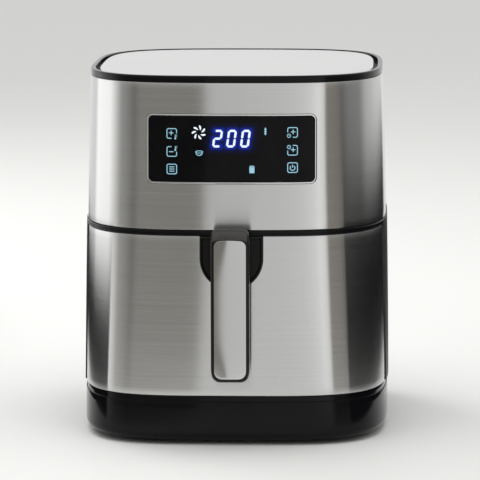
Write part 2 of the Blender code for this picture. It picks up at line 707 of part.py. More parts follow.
# ---- motor and fans --------------------------------------------------------------------
def make_motor():
    z, t, half_w = BRIDGE_Z, BRIDGE_T, BRIDGE_HALF_W
    foot = 0.0080
    outline = [(-half_w - foot, BRIDGE_LOW), (-half_w + t, BRIDGE_LOW), (-half_w + t, z),
               (half_w - t, z), (half_w - t, BRIDGE_LOW), (half_w + foot, BRIDGE_LOW),
               (half_w + foot, BRIDGE_LOW + t), (half_w, BRIDGE_LOW + t), (half_w, z + t),
               (-half_w, z + t), (-half_w, BRIDGE_LOW + t), (-half_w - foot, BRIDGE_LOW + t)]
    mesh = prism_mesh("motor_bridge", [outline], FAN_Y - BRIDGE_D / 2, FAN_Y + BRIDGE_D / 2, "XZ")
    bridge = add_part("motor_bridge", mesh, "aluminised")
    holes = [((0, FAN_Y, z - 0.01), (0, FAN_Y, z + 0.01), BEARING_R + GAP)]
    holes += [((r, FAN_Y, z - 0.01), (r, FAN_Y, z + 0.01), 0.0045)
              for r in (COIL_R, COIL_R + 2 * COIL_STEP)]
    boolean(bridge, add_cutter("bridge_holes", cylinders_mesh("bridge_holes", holes)))

    low = z + t + GAP
    square = rounded_rectangle(STATOR_W, STATOR_W, 0.008, (0.0, FAN_Y))
    bore = circle(STATOR_BORE_R, (0.0, FAN_Y), 32)
    mesh = prism_mesh("motor_stator", [square, bore], low, low + STATOR_H)
    add_part("motor_stator", mesh, "laminate")
    cap_low = low + STATOR_H + GAP
    strap = rounded_rectangle(STATOR_W, 0.030, 0.004, (0.0, FAN_Y))
    bore = circle(BEARING_R + GAP, (0.0, FAN_Y), 20)
    add_part("motor_cap", prism_mesh("motor_cap", [strap, bore], cap_low, cap_low + t),
             "aluminised")
    for name, middle in (("bearing_lower", z + t / 2), ("bearing_upper", cap_low + t / 2)):
        profile = [(BEARING_R, middle + 0.0020), (BEARING_R, middle - 0.0020),
                   (BORE_R, middle - 0.0020), (BORE_R, middle + 0.0020)]
        turned(name, profile, FAN_Y, "bronze", steps=20)


def make_rotor_parts():
    low = BRIDGE_Z + BRIDGE_T + GAP
    rotor = [(ROTOR_R, low + STATOR_H - 0.004), (ROTOR_R, low + 0.004), (BORE_R, low + 0.004),
             (BORE_R, low + STATOR_H - 0.004)]
    rods = [((0, FAN_Y, SHAFT_LOW), (0, FAN_Y, SHAFT_HIGH), SHAFT_R)]
    shaft = add_part("motor_shaft", cylinders_mesh("motor_shaft", rods, 20), "bright_steel")
    return [shaft, turned("motor_rotor", rotor, FAN_Y, "laminate", steps=24),
            make_fan("hot_air_fan", HOT_FAN_R, HOT_FAN_LOW, HOT_FAN_H, 10, "aluminised"),
            make_fan("cooling_fan", COOL_FAN_R, COOL_FAN_LOW, COOL_FAN_H, 9, "matte_black")]


def make_fan(name, radius, low, height, blades, finish):
    """A bladed wheel: a thin top disc on a bored hub, with radial blades below the disc."""
    disc, hub = 0.0012, 0.0090
    top = low + height
    profile = [(BORE_R, top), (radius * 0.94, top), (radius * 0.94, top - disc), (hub, top - disc),
               (hub, low), (BORE_R, low)]
    part = turned(name, profile, FAN_Y, finish, steps=24)
    bm = bmesh.new()
    for i in range(blades):
        span = radius - hub
        size = Matrix.Diagonal((span + 0.002, 0.0010, height - disc / 2, 1.0))
        place = Matrix.Translation((hub - 0.001 + (span + 0.002) / 2, 0.0,
                                    low + (height - disc / 2) / 2))
        turn = Matrix.Rotation(math.tau * i / blades, 4, "Z")
        bmesh.ops.create_cube(bm, size=1.0, matrix=turn @ place @ size)
    cutter = add_cutter(f"{name}_blades", mesh_from(bm, f"{name}_blades"))
    cutter.location = (0.0, FAN_Y, 0.0)
    boolean(part, cutter, "UNION")
    return part


# ---- rear of the machine ---------------------------------------------------------------
def make_exhaust_duct():
    back = -surface_y(DUCT_HALF_W, DUCT_HIGH) - SHELL_WALL - 2 * GAP
    middle = (DUCT_LOW + DUCT_HIGH) / 2
    height = DUCT_HIGH - DUCT_LOW
    outer = rounded_rectangle(2 * DUCT_HALF_W, height, 0.004, (0.0, middle), 2)
    inner = rounded_rectangle(2 * (DUCT_HALF_W - DUCT_T), height - 2 * DUCT_T, 0.003,
                              (0.0, middle), 2)
    mesh = prism_mesh("exhaust_duct", [outer, inner], DUCT_FRONT_Y, back, "XZ")
    add_part("exhaust_duct", mesh, "aluminised")


def make_power_parts():
    low = MID_DECK_LOW + MID_DECK_T + GAP
    back = -surface_y(0.050, low) - SHEET - SHELL_WALL - 0.002
    box_part("power_board", (-0.050, back - BOARD_T, low), (0.050, back, DUCT_LOW - 0.002),
             "circuit_board", 0.0002)
    face = back - BOARD_T - GAP
    box_part("transformer", (-0.040, face - 0.020, low + 0.008), (-0.006, face, low + 0.036),
             "laminate", 0.001)


def make_cord_gland():
    outside = section(GLAND_Z - GLAND_R - 0.0025)[1] + LOWER_PROUD
    flange = 0.0022
    profile = [(GLAND_R + 0.0025, GAP + flange), (GLAND_R + 0.0025, GAP), (GLAND_R, GAP),
               (GLAND_R, -SHELL_WALL - 0.004), (0.0040, -SHELL_WALL - 0.004),
               (0.0040, GLAND_REACH), (0.0056, GLAND_REACH)]
    part = turned("cord_gland", profile, outside, "matte_black", steps=24, axis="Y",
                  centre_z=GLAND_Z)
    return part


def make_interlock():
    x = LINER_HALF_W + GAP
    y = DRAWER_SPLIT_Y + SWITCH_BACK
    box_part("interlock_switch", (x, y, SWITCH_Z), (x + 0.010, y + 0.020, SWITCH_Z + 0.014),
             "matte_black")


# ---- drawer ----------------------------------------------------------------------------
def screw_cutter(name, places, front, back):
    rods = [((x, front, z), (x, back, z), SCREW_R + SCREW_CLEAR) for x, z in places]
    return add_cutter(name, cylinders_mesh(name, rods, 16))


def screw_part(name, x, z, head_y, tip_y):
    """A screw along Y: its head lies behind head_y and its shank ends at tip_y."""
    way = 1 if tip_y < head_y else -1
    length = abs(tip_y - head_y)
    profile = [(0.0, way * SCREW_HEAD_T), (SCREW_HEAD_R, way * SCREW_HEAD_T), (SCREW_HEAD_R, 0.0),
               (SCREW_R, 0.0), (SCREW_R, -way * length), (0.0, -way * length)]
    if way < 0:
        profile.reverse()
    mesh = bpy.data.meshes.new(name)
    mesh.from_pydata([(r, 0.0, h) for r, h in profile], [(i, i + 1) for i in range(5)], [])
    part = add_part(name, mesh, "bright_steel")
    turn = part.modifiers.new("turn", "SCREW")
    turn.steps = turn.render_steps = 14
    turn.use_merge_vertices = True
    turn.merge_threshold = 0.00001
    part.rotation_euler = (math.radians(-90), 0.0, 0.0)
    part.location = (x, head_y, z)
    return part


def make_drawer_front():
    frame_inset = SHEET + GAP
    skin = clad("drawer_skin", SKIN_LOW, SKIN_HIGH, DRAWER_SPLIT_Y, 0.0, SHEET, "steel", levels=3)
    frame = clad("drawer_frame", SKIN_LOW, SKIN_HIGH, DRAWER_SPLIT_Y, frame_inset, FRAME_T,
                 "matte_black", levels=3)
    bosses = []
    for x in (-PANEL_BOSS_X, PANEL_BOSS_X):
        for z in (SKIN_LOW + 0.025, SKIN_HIGH - 0.020):
            wall = surface_y(abs(x) + PANEL_BOSS_R, z, frame_inset + FRAME_T / 2)
            bosses.append(((x, wall, z), (x, PANEL_Y - PANEL_T - GAP, z), PANEL_BOSS_R))
    boolean(frame, add_cutter("frame_bosses", cylinders_mesh("frame_bosses", bosses, 14)),
            "UNION")
    tab_front = DRAWER_SPLIT_Y - 0.012
    tab_x = side_x(tab_front, SWITCH_Z, frame_inset + FRAME_T / 2)
    tab = box_mesh("switch_tab", (tab_x - 0.008, tab_front, SWITCH_Z + 0.002),
                   (tab_x, DRAWER_SPLIT_Y + SWITCH_BACK - GAP, SWITCH_Z + 0.012))
    boolean(frame, add_cutter("switch_tab", tab), "UNION")
    return [skin, frame]


def make_drawer_trim():
    """The lid of the drawer front: a plate under the seam with its own front edge proud."""
    arc = body_arc(SEAM_Z, -TRIM_PROUD, DRAWER_SPLIT_Y)
    right, left = arc[0], arc[-1]
    wing = LINER_HALF_W + 0.003
    step = PANEL_Y - PANEL_T
    outline = [(x, y) for x, y, _ in arc]
    outline += [(-wing, left[1]), (-wing, step), (wing, step), (wing, right[1])]
    mesh = prism_mesh("drawer_trim", [outline], TRIM_LOW, TRIM_LOW + TRIM_H)
    return add_part("drawer_trim", mesh, "gloss_black")


def make_back_panel():
    outline = rounded_rectangle(2 * PANEL_HALF_W, SKIN_HIGH - SKIN_LOW - 0.006, 0.006,
                                (0.0, (SKIN_LOW + SKIN_HIGH) / 2))
    mesh = prism_mesh("drawer_back_panel", [outline], PANEL_Y - PANEL_T, PANEL_Y, "XZ")
    return add_part("drawer_back_panel", mesh, "matte_black")


def shield_outline():
    """Straight sides at the top, then a half ellipse down to a blunt point."""
    top = TRIM_LOW - GAP
    points = [(SHIELD_W / 2, top), (-SHIELD_W / 2, top)]
    drop = SHIELD_H - SHIELD_STRAIGHT
    for i in range(17):
        angle = math.pi + math.pi * i / 16
        points.append((SHIELD_W / 2 * math.cos(angle),
                       top - SHIELD_STRAIGHT + drop * math.sin(angle)))
    return points


def make_escutcheon():
    top = TRIM_LOW - GAP
    part = front_patch("handle_escutcheon", SHIELD_W / 2 + 0.004, top - SHIELD_H - 0.004,
                       top + 0.004, -SHIELD_T - GAP, SHIELD_T, "gloss_black", 8, 3)
    mesh = prism_mesh("shield", [shield_outline()], -SEAM_HALF_D - 0.03, -SEAM_HALF_D + 0.02, "XZ")
    boolean(part, add_cutter("shield", mesh), "INTERSECT")
    return part


def arc_points(centre, radius, start, end, steps):
    return [(centre[0] + radius * math.cos(math.radians(start + (end - start) * i / steps)),
             centre[1] + radius * math.sin(math.radians(start + (end - start) * i / steps)))
            for i in range(steps + 1)]


def handle_profile():
    """Side view of the grip in (y, z): a neck, a rounded crown and a straight hanging bar."""
    front, back = HANDLE_FRONT_Y, HANDLE_FRONT_Y + GRIP_T
    neck_low = NECK_TOP - NECK_H
    seat = surface_y(0.0, neck_low) - SHIELD_T - 3 * GAP
    low = HANDLE_TOP - HANDLE_H
    points = [(seat, neck_low), (seat, NECK_TOP - 0.0035), (seat - 0.005, NECK_TOP),
              (front + 2.4 * HANDLE_TOP_R, NECK_TOP)]
    points += arc_points((front + HANDLE_TOP_R, HANDLE_TOP - HANDLE_TOP_R), HANDLE_TOP_R,
                         45, 180, 9)
    points += arc_points((front + 0.006, low + 0.006), 0.006, 180, 270, 4)
    points += arc_points((back - 0.004, low + 0.004), 0.004, 270, 360, 3)
    inner = 0.008
    points += arc_points((back + inner, neck_low - inner), inner, 180, 90, 4)
    return points


def make_handle():
    half_w = HANDLE_W / 2
    grip = add_part("handle_grip", prism_mesh("handle_grip", [handle_profile()], -half_w, half_w,
                                              "YZ"), "gloss_black")
    rounded = grip.modifiers.new("edges", "BEVEL")
    rounded.width = 0.0022
    rounded.segments = 2
    rounded.limit_method = "ANGLE"
    rounded.angle_limit = math.radians(50)
    middle = HANDLE_TOP - INSERT_DROP - INSERT_H / 2
    pocket = rounded_rectangle(INSERT_W + 2 * GAP, INSERT_H + 2 * GAP, 0.006, (0.0, middle))
    depth = INSERT_T + GAP
    mesh = prism_mesh("insert_pocket", [pocket], HANDLE_FRONT_Y - 0.01, HANDLE_FRONT_Y + depth,
                      "XZ")
    boolean(grip, add_cutter("insert_pocket", mesh))
    outline = rounded_rectangle(INSERT_W, INSERT_H, 0.0057, (0.0, middle))
    mesh = prism_mesh("handle_insert", [outline], HANDLE_FRONT_Y, HANDLE_FRONT_Y + INSERT_T, "XZ")
    insert = add_part("handle_insert", mesh, "steel")
    return [grip, insert]


def pan_ring(z, inset, count=40):
    turns = [math.tau * (i + 0.5) / count for i in range(count)]
    points = [oval_point(PAN_HALF_W, PAN_HALF_D, PAN_SQUARE, turn, inset) for turn in turns]
    return [(x, PAN_Y + y, z) for x, y in points]


def make_pan():
    w = PAN_WALL
    rings = [
        (PAN_LOW + w, PAN_DRAFT + 0.0080),
        (PAN_LOW + w + 0.0012, PAN_DRAFT + 0.0040),
        (PAN_LOW + 0.0080, PAN_DRAFT + w),
        (PAN_TOP, w),
        (PAN_TOP, -PAN_LIP),
        (PAN_TOP - LIP_T, -PAN_LIP),
        (PAN_TOP - LIP_T, 0.0),
        (PAN_LOW + 0.0080, PAN_DRAFT),
        (PAN_LOW + 0.0020, PAN_DRAFT + 0.0022),
        (PAN_LOW, PAN_DRAFT + 0.0070),
    ]
    mesh = loft("pan", [pan_ring(z, inset) for z, inset in rings])
    return add_part("pan", mesh, "nonstick")


def pan_draft_at(z):
    """How far the pan's outer wall stands in from its top edge at height z."""
    high, low = PAN_TOP - LIP_T, PAN_LOW + 0.0080
    return PAN_DRAFT * (high - z) / (high - low)


def make_pan_bracket():
    low = PAN_SCREW_Z - BRACKET_H / 2
    face = PAN_FRONT_Y + pan_draft_at(low + BRACKET_H) - GAP
    return box_part("pan_bracket", (-BRACKET_W / 2, PANEL_Y + GAP, low),
                    (BRACKET_W / 2, face, low + BRACKET_H), "aluminised")


def fasten_drawer(skin, frame, panel, shield, grip, pan, bracket):
    """Bore the screw holes through every piece that each screw holds, and make the screws."""
    top, low = HANDLE_SCREWS_Z
    head_y = surface_y(0.0, top, SHEET + GAP + FRAME_T + 3 * GAP)
    tip_y = head_y - 0.018
    cutter = screw_cutter("handle_screw_holes", [(0.0, top), (0.0, low)], head_y + 0.004,
                          tip_y - 0.001)
    for part in (skin, frame, shield, grip):
        boolean(part, cutter)
    screws = [screw_part("handle_screw_upper", 0.0, top, head_y, tip_y),
              screw_part("handle_screw_lower", 0.0, low, head_y, tip_y)]
    inner_y = PAN_FRONT_Y + pan_draft_at(PAN_SCREW_Z) + PAN_WALL + 2 * GAP
    places = [(-PAN_SCREW_X, PAN_SCREW_Z), (PAN_SCREW_X, PAN_SCREW_Z)]
    cutter = screw_cutter("pan_screw_holes", places, inner_y + 0.004, PANEL_Y - PANEL_T - 0.004)
    for part in (pan, bracket, panel):
        boolean(part, cutter)
    for side, (x, z) in zip(("left", "right"), places):
        screws.append(screw_part(f"pan_screw_{side}", x, z, inner_y, PANEL_Y - PANEL_T - 0.002))
    return screws


# ---- crisper ---------------------------------------------------------------------------
def make_crisper():
    draft = pan_draft_at(PLATE_Z) + PAN_WALL + PLATE_CLEAR
    half_w, half_d = PAN_HALF_W - draft, PAN_HALF_D - draft
    count = 40
    outline = []
    for i in range(count):
        x, y = oval_point(half_w, half_d, PAN_SQUARE, math.tau * (i + 0.5) / count)
        outline.append((x, PAN_Y + y))
    pitch, rows = 0.0320, 5
    holes = []
    for row in range(rows):
        for column in range(rows):
            centre = ((column - rows // 2) * pitch, PAN_Y + (row - rows // 2) * pitch)
            holes.append(circle(0.0055, centre, 6))
    mesh = prism_mesh("crisper_plate", [outline, *holes], PLATE_Z, PLATE_Z + PLATE_T)
    pieces = [add_part("crisper_plate", mesh, "nonstick")]
    spread = 0.0780
    for row, y in (("front", -spread), ("rear", spread)):
        for side, x in (("left", -spread), ("right", spread)):
            name = f"plate_foot_{row}_{side}"
            rods = [((x, PAN_Y + y, PAN_LOW + PAN_WALL + GAP), (x, PAN_Y + y, PLATE_Z - GAP),
                     PLATE_FOOT_R)]
            pieces.append(add_part(name, cylinders_mesh(name, rods, 16), "silicone"))
    return pieces


# ---- assembly --------------------------------------------------------------------------
def ride(parts, name, place):
    """Hang parts on an empty that stands on their joint's axis."""
    axis = bpy.data.objects.new(name, None)
    PARTS.objects.link(axis)
    axis.location = place
    bpy.context.view_layer.update()
    for part in parts:
        part.parent = axis
        part.matrix_parent_inverse = axis.matrix_world.inverted()
    return axis


def centre_front_to_back():
    """Move everything along Y so that the origin is under the middle of the whole model."""
    bpy.context.view_layer.update()
    graph = bpy.context.evaluated_depsgraph_get()
    reach = []
    for part in PARTS.objects:
        if part.type == "MESH":
            seen = part.evaluated_get(graph)
            reach += [(seen.matrix_world @ Vector(corner)).y for corner in seen.bound_box]
    shift = -(min(reach) + max(reach)) / 2
    for item in list(PARTS.objects) + list(CUTTERS.objects):
        if item.parent is None:
            item.location.y += shift
    return shift


def make_housing():
    make_base_shell()
    make_base_deck()
    make_feet()
    make_lower_shell()
    make_upper_shells()
    make_rear_cover()
    make_top()
    make_display()
    make_chamber()
    make_mid_deck()
    make_probe_and_fuse()
    make_guard()
    make_reflector()
    make_heating_element()
    make_heater_clips()
    make_motor()
    make_exhaust_duct()
    make_power_parts()
    make_cord_gland()
    make_interlock()


def make_drawer():
    skin, frame = make_drawer_front()
    trim = make_drawer_trim()
    panel = make_back_panel()
    shield = make_escutcheon()
    grip, insert = make_handle()
    pan = make_pan()
    bracket = make_pan_bracket()
    screws = fasten_drawer(skin, frame, panel, shield, grip, pan, bracket)
    return [skin, frame, trim, panel, shield, grip, insert, pan, bracket, *screws]


def main():
    global PARTS, CUTTERS
    clear_scene()
    PARTS = make_collection("air_fryer")
    CUTTERS = make_collection("cutters")
    make_housing()
    ride(make_rotor_parts(), "fan_axis", (0.0, FAN_Y, HOT_FAN_LOW))
    drawer = ride(make_drawer(), "drawer_slide", (0.0, PANEL_Y, PAN_TOP))
    crisper = ride(make_crisper(), "crisper_lift", (0.0, PAN_Y, PLATE_Z))
    crisper.parent = drawer
    crisper.matrix_parent_inverse = drawer.matrix_world.inverted()
    shift = centre_front_to_back()
    print("fan axis y", round(FAN_Y + shift, 5))


main()
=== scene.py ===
"""Looks of a drawer-type air fryer: brushed steel body, black glass display, sliding pan.

Metres, +Z up, the front faces -Y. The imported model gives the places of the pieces.
"""
import json
import math

import bmesh
import bpy
from mathutils import Matrix, Vector

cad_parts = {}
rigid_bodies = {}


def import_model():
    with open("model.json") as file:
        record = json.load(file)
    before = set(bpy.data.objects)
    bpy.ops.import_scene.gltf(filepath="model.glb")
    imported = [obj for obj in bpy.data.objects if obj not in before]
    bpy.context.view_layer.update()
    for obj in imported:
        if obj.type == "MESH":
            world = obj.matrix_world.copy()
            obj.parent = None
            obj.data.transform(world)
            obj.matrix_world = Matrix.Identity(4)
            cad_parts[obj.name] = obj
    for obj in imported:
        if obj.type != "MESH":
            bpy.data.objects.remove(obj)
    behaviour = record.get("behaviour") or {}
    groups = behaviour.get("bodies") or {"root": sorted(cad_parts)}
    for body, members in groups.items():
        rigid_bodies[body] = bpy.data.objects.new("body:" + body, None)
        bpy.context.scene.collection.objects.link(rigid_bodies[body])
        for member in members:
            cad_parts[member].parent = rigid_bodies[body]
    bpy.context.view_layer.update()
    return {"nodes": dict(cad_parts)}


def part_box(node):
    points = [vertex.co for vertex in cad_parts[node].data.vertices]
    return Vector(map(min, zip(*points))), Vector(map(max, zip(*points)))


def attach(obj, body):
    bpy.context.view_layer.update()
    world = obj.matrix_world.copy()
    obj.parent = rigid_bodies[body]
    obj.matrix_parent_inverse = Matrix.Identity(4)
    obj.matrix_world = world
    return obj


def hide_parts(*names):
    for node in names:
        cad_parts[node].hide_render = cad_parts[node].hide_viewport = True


for startup_item in list(bpy.data.objects):
    bpy.data.objects.remove(startup_item, do_unlink=True)
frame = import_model()

# ---- sizes that the outline of the body follows: half width, half depth, squareness -----
BASE_SECTION = (0.1388, 0.1640, 4.0)
SEAM_SECTION = (0.1370, 0.1562, 3.4)
TOP_SECTION = (0.1335, 0.1508, 3.4)
SEAM_Z = 0.1929
WRAP_SPLIT_Y = 0.1050
DRAWER_SPLIT_Y = -0.0740
SHEET = 0.0010
WALL = 0.0025
GAP = 0.0003
PROUD = 0.0010


def box_of(node):
    low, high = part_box(node)
    return tuple(low), tuple(high)


RIM_BOX = box_of("top_ring")
AXIS_Y = (RIM_BOX[0][1] + RIM_BOX[1][1]) / 2
HEIGHT = RIM_BOX[1][2]
FAN_Y = sum(corner[1] for corner in box_of("heater_guard")) / 2
MM = 0.001
POLE = 0.00001  # radius that stands for a pole
FOUR_CORNERS = ("front_left", "front_right", "rear_left", "rear_right")
ORIGIN = (0.0, 0.0, 0.0)


# ---- mesh helpers ------------------------------------------------------------------------
def section(z):
    """Half width, half depth and squareness of the outline at height z."""
    u, seam = z / HEIGHT, SEAM_Z / HEIGHT
    low = (u - seam) * (u - 1) / seam
    middle = u * (u - 1) / (seam * (seam - 1))
    high = u * (u - seam) / (1 - seam)
    sections = zip(BASE_SECTION, SEAM_SECTION, TOP_SECTION)
    return [a * low + b * middle + c * high for a, b, c in sections]


def oval(half_w, half_d, square, turn, inset=0.0):
    """A point of a superellipse, moved inwards along its normal by the inset."""
    spread = (1 + 2 / square) / 2
    c, s = math.cos(turn), math.sin(turn)
    u = math.copysign(abs(c) ** spread, c)
    v = math.copysign(abs(s) ** spread, s)
    size = (abs(u) ** square + abs(v) ** square) ** (-1 / square)
    x, y = half_w * u * size, half_d * v * size
    nx = math.copysign(abs(x / half_w) ** (square - 1) / half_w, x)
    ny = math.copysign(abs(y / half_d) ** (square - 1) / half_d, y)
    length = math.hypot(nx, ny)
    return x - inset * nx / length, y - inset * ny / length


def body_point(z, turn, inset=0.0):
    x, y = oval(*section(z), turn, inset)
    return x, y + AXIS_Y, z


def turn_at(z, y):
    """The turn at which the right-hand side of the outline reaches y from the axis."""
    half_w, half_d, square = section(z)
    x = half_w * (1 - abs(y / half_d) ** square) ** (1 / square)
    ratio = (abs(y) / half_d) / (x / half_w)
    return math.copysign(math.atan(ratio ** (2 / (1 + 2 / square))), y)


def front_y(x, z):
    half_w, half_d, square = section(z)
    return AXIS_Y - half_d * (1 - abs(x / half_w) ** square) ** (1 / square)


def on_front(x, z, lift=0.0):
    """A place on the body's front, standing proud of it by the lift."""
    return x, front_y(x, z) - lift, z


def rounded(corners, steps=4):
    """Round the corners (u, v, radius) of a closed outline."""
    points = []
    for i, (u, v, radius) in enumerate(corners):
        here = Vector((u, v))
        if radius == 0:
            points.append((u, v))
            continue
        back = (Vector(corners[i - 1][:2]) - here).normalized()
        ahead = (Vector(corners[(i + 1) % len(corners)][:2]) - here).normalized()
        half = back.angle(ahead) / 2
        centre = here + (back + ahead).normalized() * (radius / math.sin(half))
        start = here + back * (radius / math.tan(half)) - centre
        end = here + ahead * (radius / math.tan(half)) - centre
        first = math.atan2(start.y, start.x)
        sweep = (math.atan2(end.y, end.x) - first + math.pi) % math.tau - math.pi
        for step in range(steps + 1):
            angle = first + sweep * step / steps
            points.append((centre.x + radius * math.cos(angle),
                           centre.y + radius * math.sin(angle)))
    return points


def arc(centre, radius, start, end, steps=14, rise=None):
    """Points of a circle, or of an oval with another radius upwards, between two angles."""
    points = []
    for i in range(steps + 1):
        angle = math.radians(start + (end - start) * i / steps)
        points.append((centre[0] + radius * math.cos(angle),
                       centre[1] + (rise or radius) * math.sin(angle)))
    return points


def boxed(low, high, radius, steps):
    """A rounded rectangle between two corners."""
    return rounded([(*low, radius), (high[0], low[1], radius), (*high, radius),
                    (low[0], high[1], radius)], steps)


def divided(points, longest):
    """Add points to a closed outline so that no side is longer than this."""
    out = []
    for i, (u, v) in enumerate(points):
        u2, v2 = points[(i + 1) % len(points)]
        parts = max(1, math.ceil(math.hypot(u2 - u, v2 - v) / longest))
        out += [(u + (u2 - u) * k / parts, v + (v2 - v) * k / parts) for k in range(parts)]
    return out


def object_from(name, bm):
    """A new object whose faces all point outwards."""
    bmesh.ops.recalc_face_normals(bm, faces=bm.faces)
    mesh = bpy.data.meshes.new(name)
    bm.to_mesh(mesh)
    bm.free()
    return placed(bpy.data.objects.new(name, mesh))


def placed(item):
    bpy.context.scene.collection.objects.link(item)
    return item


def finished(name, bm, *looks, **more):
    return dressed(object_from(name, bm), *looks, **more)


def dressed(piece, body, finish, nodes=(), sharp=34.0, uv=None):
    """Smooth shading, the UV map, finish, body and slot of a finished piece."""
    mesh = piece.data
    mesh.shade_smooth()
    mesh.set_sharp_from_angle(angle=math.radians(sharp))
    lay_uv(mesh, uv or around_body)
    mesh.materials.clear()
    mesh.materials.append(FINISH[finish])
    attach(piece, body)
    if nodes:
        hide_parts(*nodes)
    return piece


def around_body(point):
    """Along the outline and up it, for a grain that runs round the body."""
    return math.atan2(point.x, AXIS_Y - point.y) * 0.15, point.z


def flat_front(point):
    return point.x, point.z


def flat_top(point):
    return point.x, point.y


def lay_uv(mesh, rule):
    layer = mesh.uv_layers.new(name="grain")
    period = math.tau * 0.15
    for face in mesh.polygons:
        places = [rule(mesh.vertices[mesh.loops[i].vertex_index].co) for i in face.loop_indices]
        base = places[0][0]
        for i, (u, v) in zip(face.loop_indices, places):
            if rule is around_body:
                u -= round((u - base) / period) * period
            layer.data[i].uv = (u, v)


def joined(bm, loops):
    """Walls between closed loops of vertices, each to the next."""
    for low, high in zip(loops, loops[1:]):
        for i in range(len(low)):
            j = (i + 1) % len(low)
            bm.faces.new((low[i], low[j], high[j], high[i]))


def loft_bm(rows, closed=False, bm=None):
    """Join rows of points, each a closed loop, into one closed skin."""
    bm = bm or bmesh.new()
    loops = [[bm.verts.new(point) for point in row] for row in rows]
    joined(bm, loops + loops[:1] if closed else loops)
    if not closed:
        bm.faces.new(loops[0])
        bm.faces.new(loops[-1])
    return bm


def swept_bm(profile, split=None, rear=False, count=300):
    """Sweep a closed profile of (inset, height) round the outline, or round one side of it."""
    spans = []
    for _, z in profile:
        side = turn_at(z, split) if split is not None else 0.0
        start, end = (side, math.pi - side) if rear else (side, -math.pi - side)
        spans.append((start, end) if split is not None else (0.0, math.tau))
    steps = count if split is None else count - 1
    rows = []
    for i in range(count):
        rows.append([body_point(z, start + (end - start) * i / steps, inset)
                     for (inset, z), (start, end) in zip(profile, spans)])
    return loft_bm(rows, closed=split is None)


def stacked_bm(levels, outline, count=240):
    """Stack closed outlines: levels of (inset, height), bottom to top or outside to inside."""
    rows = [[outline(z, math.tau * i / count, inset) for i in range(count)]
            for inset, z in levels]
    return loft_bm(rows)


def turned_bm(profile, centre, axis="Z", steps=48, bm=None, closed=False):
    """Turn a profile of (radius, height) points about an axis."""
    frames = {"Z": Matrix.Identity(3), "Y": Matrix.Rotation(math.radians(90), 3, "X")}
    place = Vector(centre)
    rows = [[place + frames[axis] @ Vector((*point, height))
             for point in arc((0.0, 0.0), max(radius, POLE), 0, 360, steps)[:-1]]
            for radius, height in profile]
    return loft_bm(rows, closed=closed, bm=bm)


def tube_bm(path, radius, sides=10, closed=False, bm=None):
    """A round bar along a path of points."""
    points = [Vector(point) for point in path]
    rows = []
    lead = None
    for i, point in enumerate(points):
        before = points[i - 1] if closed or i else point
        after = points[(i + 1) % len(points)] if closed or i < len(points) - 1 else point
        run = (after - before).normalized()
        if lead is None:
            lead = run.orthogonal().normalized()
        lead = (lead - run * lead.dot(run)).normalized()
        side = run.cross(lead)
        rows.append([point + radius * (lead * math.cos(math.tau * k / sides)
                                       + side * math.sin(math.tau * k / sides))
                     for k in range(sides)])
    return loft_bm(rows, closed=closed, bm=bm)


def peg_bm(radius, low, high, centre, axis="Z", steps=20, bm=None):
    """A plain round peg, for cutting holes and joining posts."""
    return turned_bm([(0.0, low), (radius, low), (radius, high), (0.0, high)], centre, axis,
                     steps, bm)


def slab_bm(columns, rows, edge, surface, back):
    """A plate whose face is made of columns (x, low, high).

    edge lists (outset, lift) from the face's border outwards and down to the back.
    """
    bm = bmesh.new()
    grid = [[(x, low + (high - low) * k / rows) for k in range(rows + 1)]
            for x, low, high in columns]
    last = len(columns) - 1
    border = [(c, 0) for c in range(last + 1)] + [(last, r) for r in range(1, rows + 1)]
    border += [(c, rows) for c in range(last - 1, -1, -1)]
    border += [(0, r) for r in range(rows - 1, 0, -1)]
    flat = [Vector(grid[c][r]) for c, r in border]
    outward = []
    for i, here in enumerate(flat):
        back_way = (here - flat[i - 1]).normalized()
        front_way = (flat[(i + 1) % len(flat)] - here).normalized()
        one = Vector((back_way.y, -back_way.x))
        two = Vector((front_way.y, -front_way.x))
        outward.append((one + two) / max(0.5, 1 + one.dot(two)))

    def face(lift, ring):
        verts = [[None] * (rows + 1) for _ in columns]
        for vert, (c, r) in zip(ring, border):
            verts[c][r] = vert
        for c in range(last + 1):
            for r in range(rows + 1):
                if verts[c][r] is None:
                    verts[c][r] = bm.verts.new(surface(*grid[c][r], lift))
        for c in range(last):
            for r in range(rows):
                bm.faces.new((verts[c][r], verts[c + 1][r], verts[c + 1][r + 1],
                              verts[c][r + 1]))

    rings = []
    for outset, lift in [*edge, (0.0, -back)]:
        rings.append([bm.verts.new(surface(p.x + n.x * outset, p.y + n.y * outset, lift))
                      for p, n in zip(flat, outward)])
    joined(bm, rings)
    face(edge[0][1], rings[0])
    face(-back, rings[-1])
    return bm


def round_columns(width, height, radius, centre_z, inner=40, corner=9):
    """Columns of a rounded rectangle, close together at its corners."""
    half_w, half_h = width / 2, height / 2
    span = half_w - radius
    columns = arc((-span, half_h - radius), radius, 180, 90, corner)
    corner_columns = columns[::-1]
    columns += [(-span + 2 * span * k / inner, half_h) for k in range(1, inner)]
    columns += [(-x, h) for x, h in corner_columns]
    return [(x, centre_z - h, centre_z + h) for x, h in columns]


def made_plain(piece):
    """Bake a piece's live modifiers into a plain mesh."""
    bpy.context.view_layer.update()
    graph = bpy.context.evaluated_depsgraph_get()
    mesh = bpy.data.meshes.new_from_object(piece.evaluated_get(graph))
    piece.modifiers.clear()
    piece.data = mesh
    return piece


def cut(piece, *cutters, operation="DIFFERENCE"):
    for cutter in cutters:
        modifier = piece.modifiers.new("cut", "BOOLEAN")
        modifier.object = cutter
        modifier.operation = operation
        modifier.solver = "EXACT"
    made_plain(piece)
    for cutter in cutters:
        bpy.data.objects.remove(cutter, do_unlink=True)
    return piece


def prism(name, outline, low, high):
    """A straight bar along Y with this outline of (x, z) points."""
    return object_from(name, loft_bm([[(x, y, z) for x, z in outline] for y in (low, high)]))


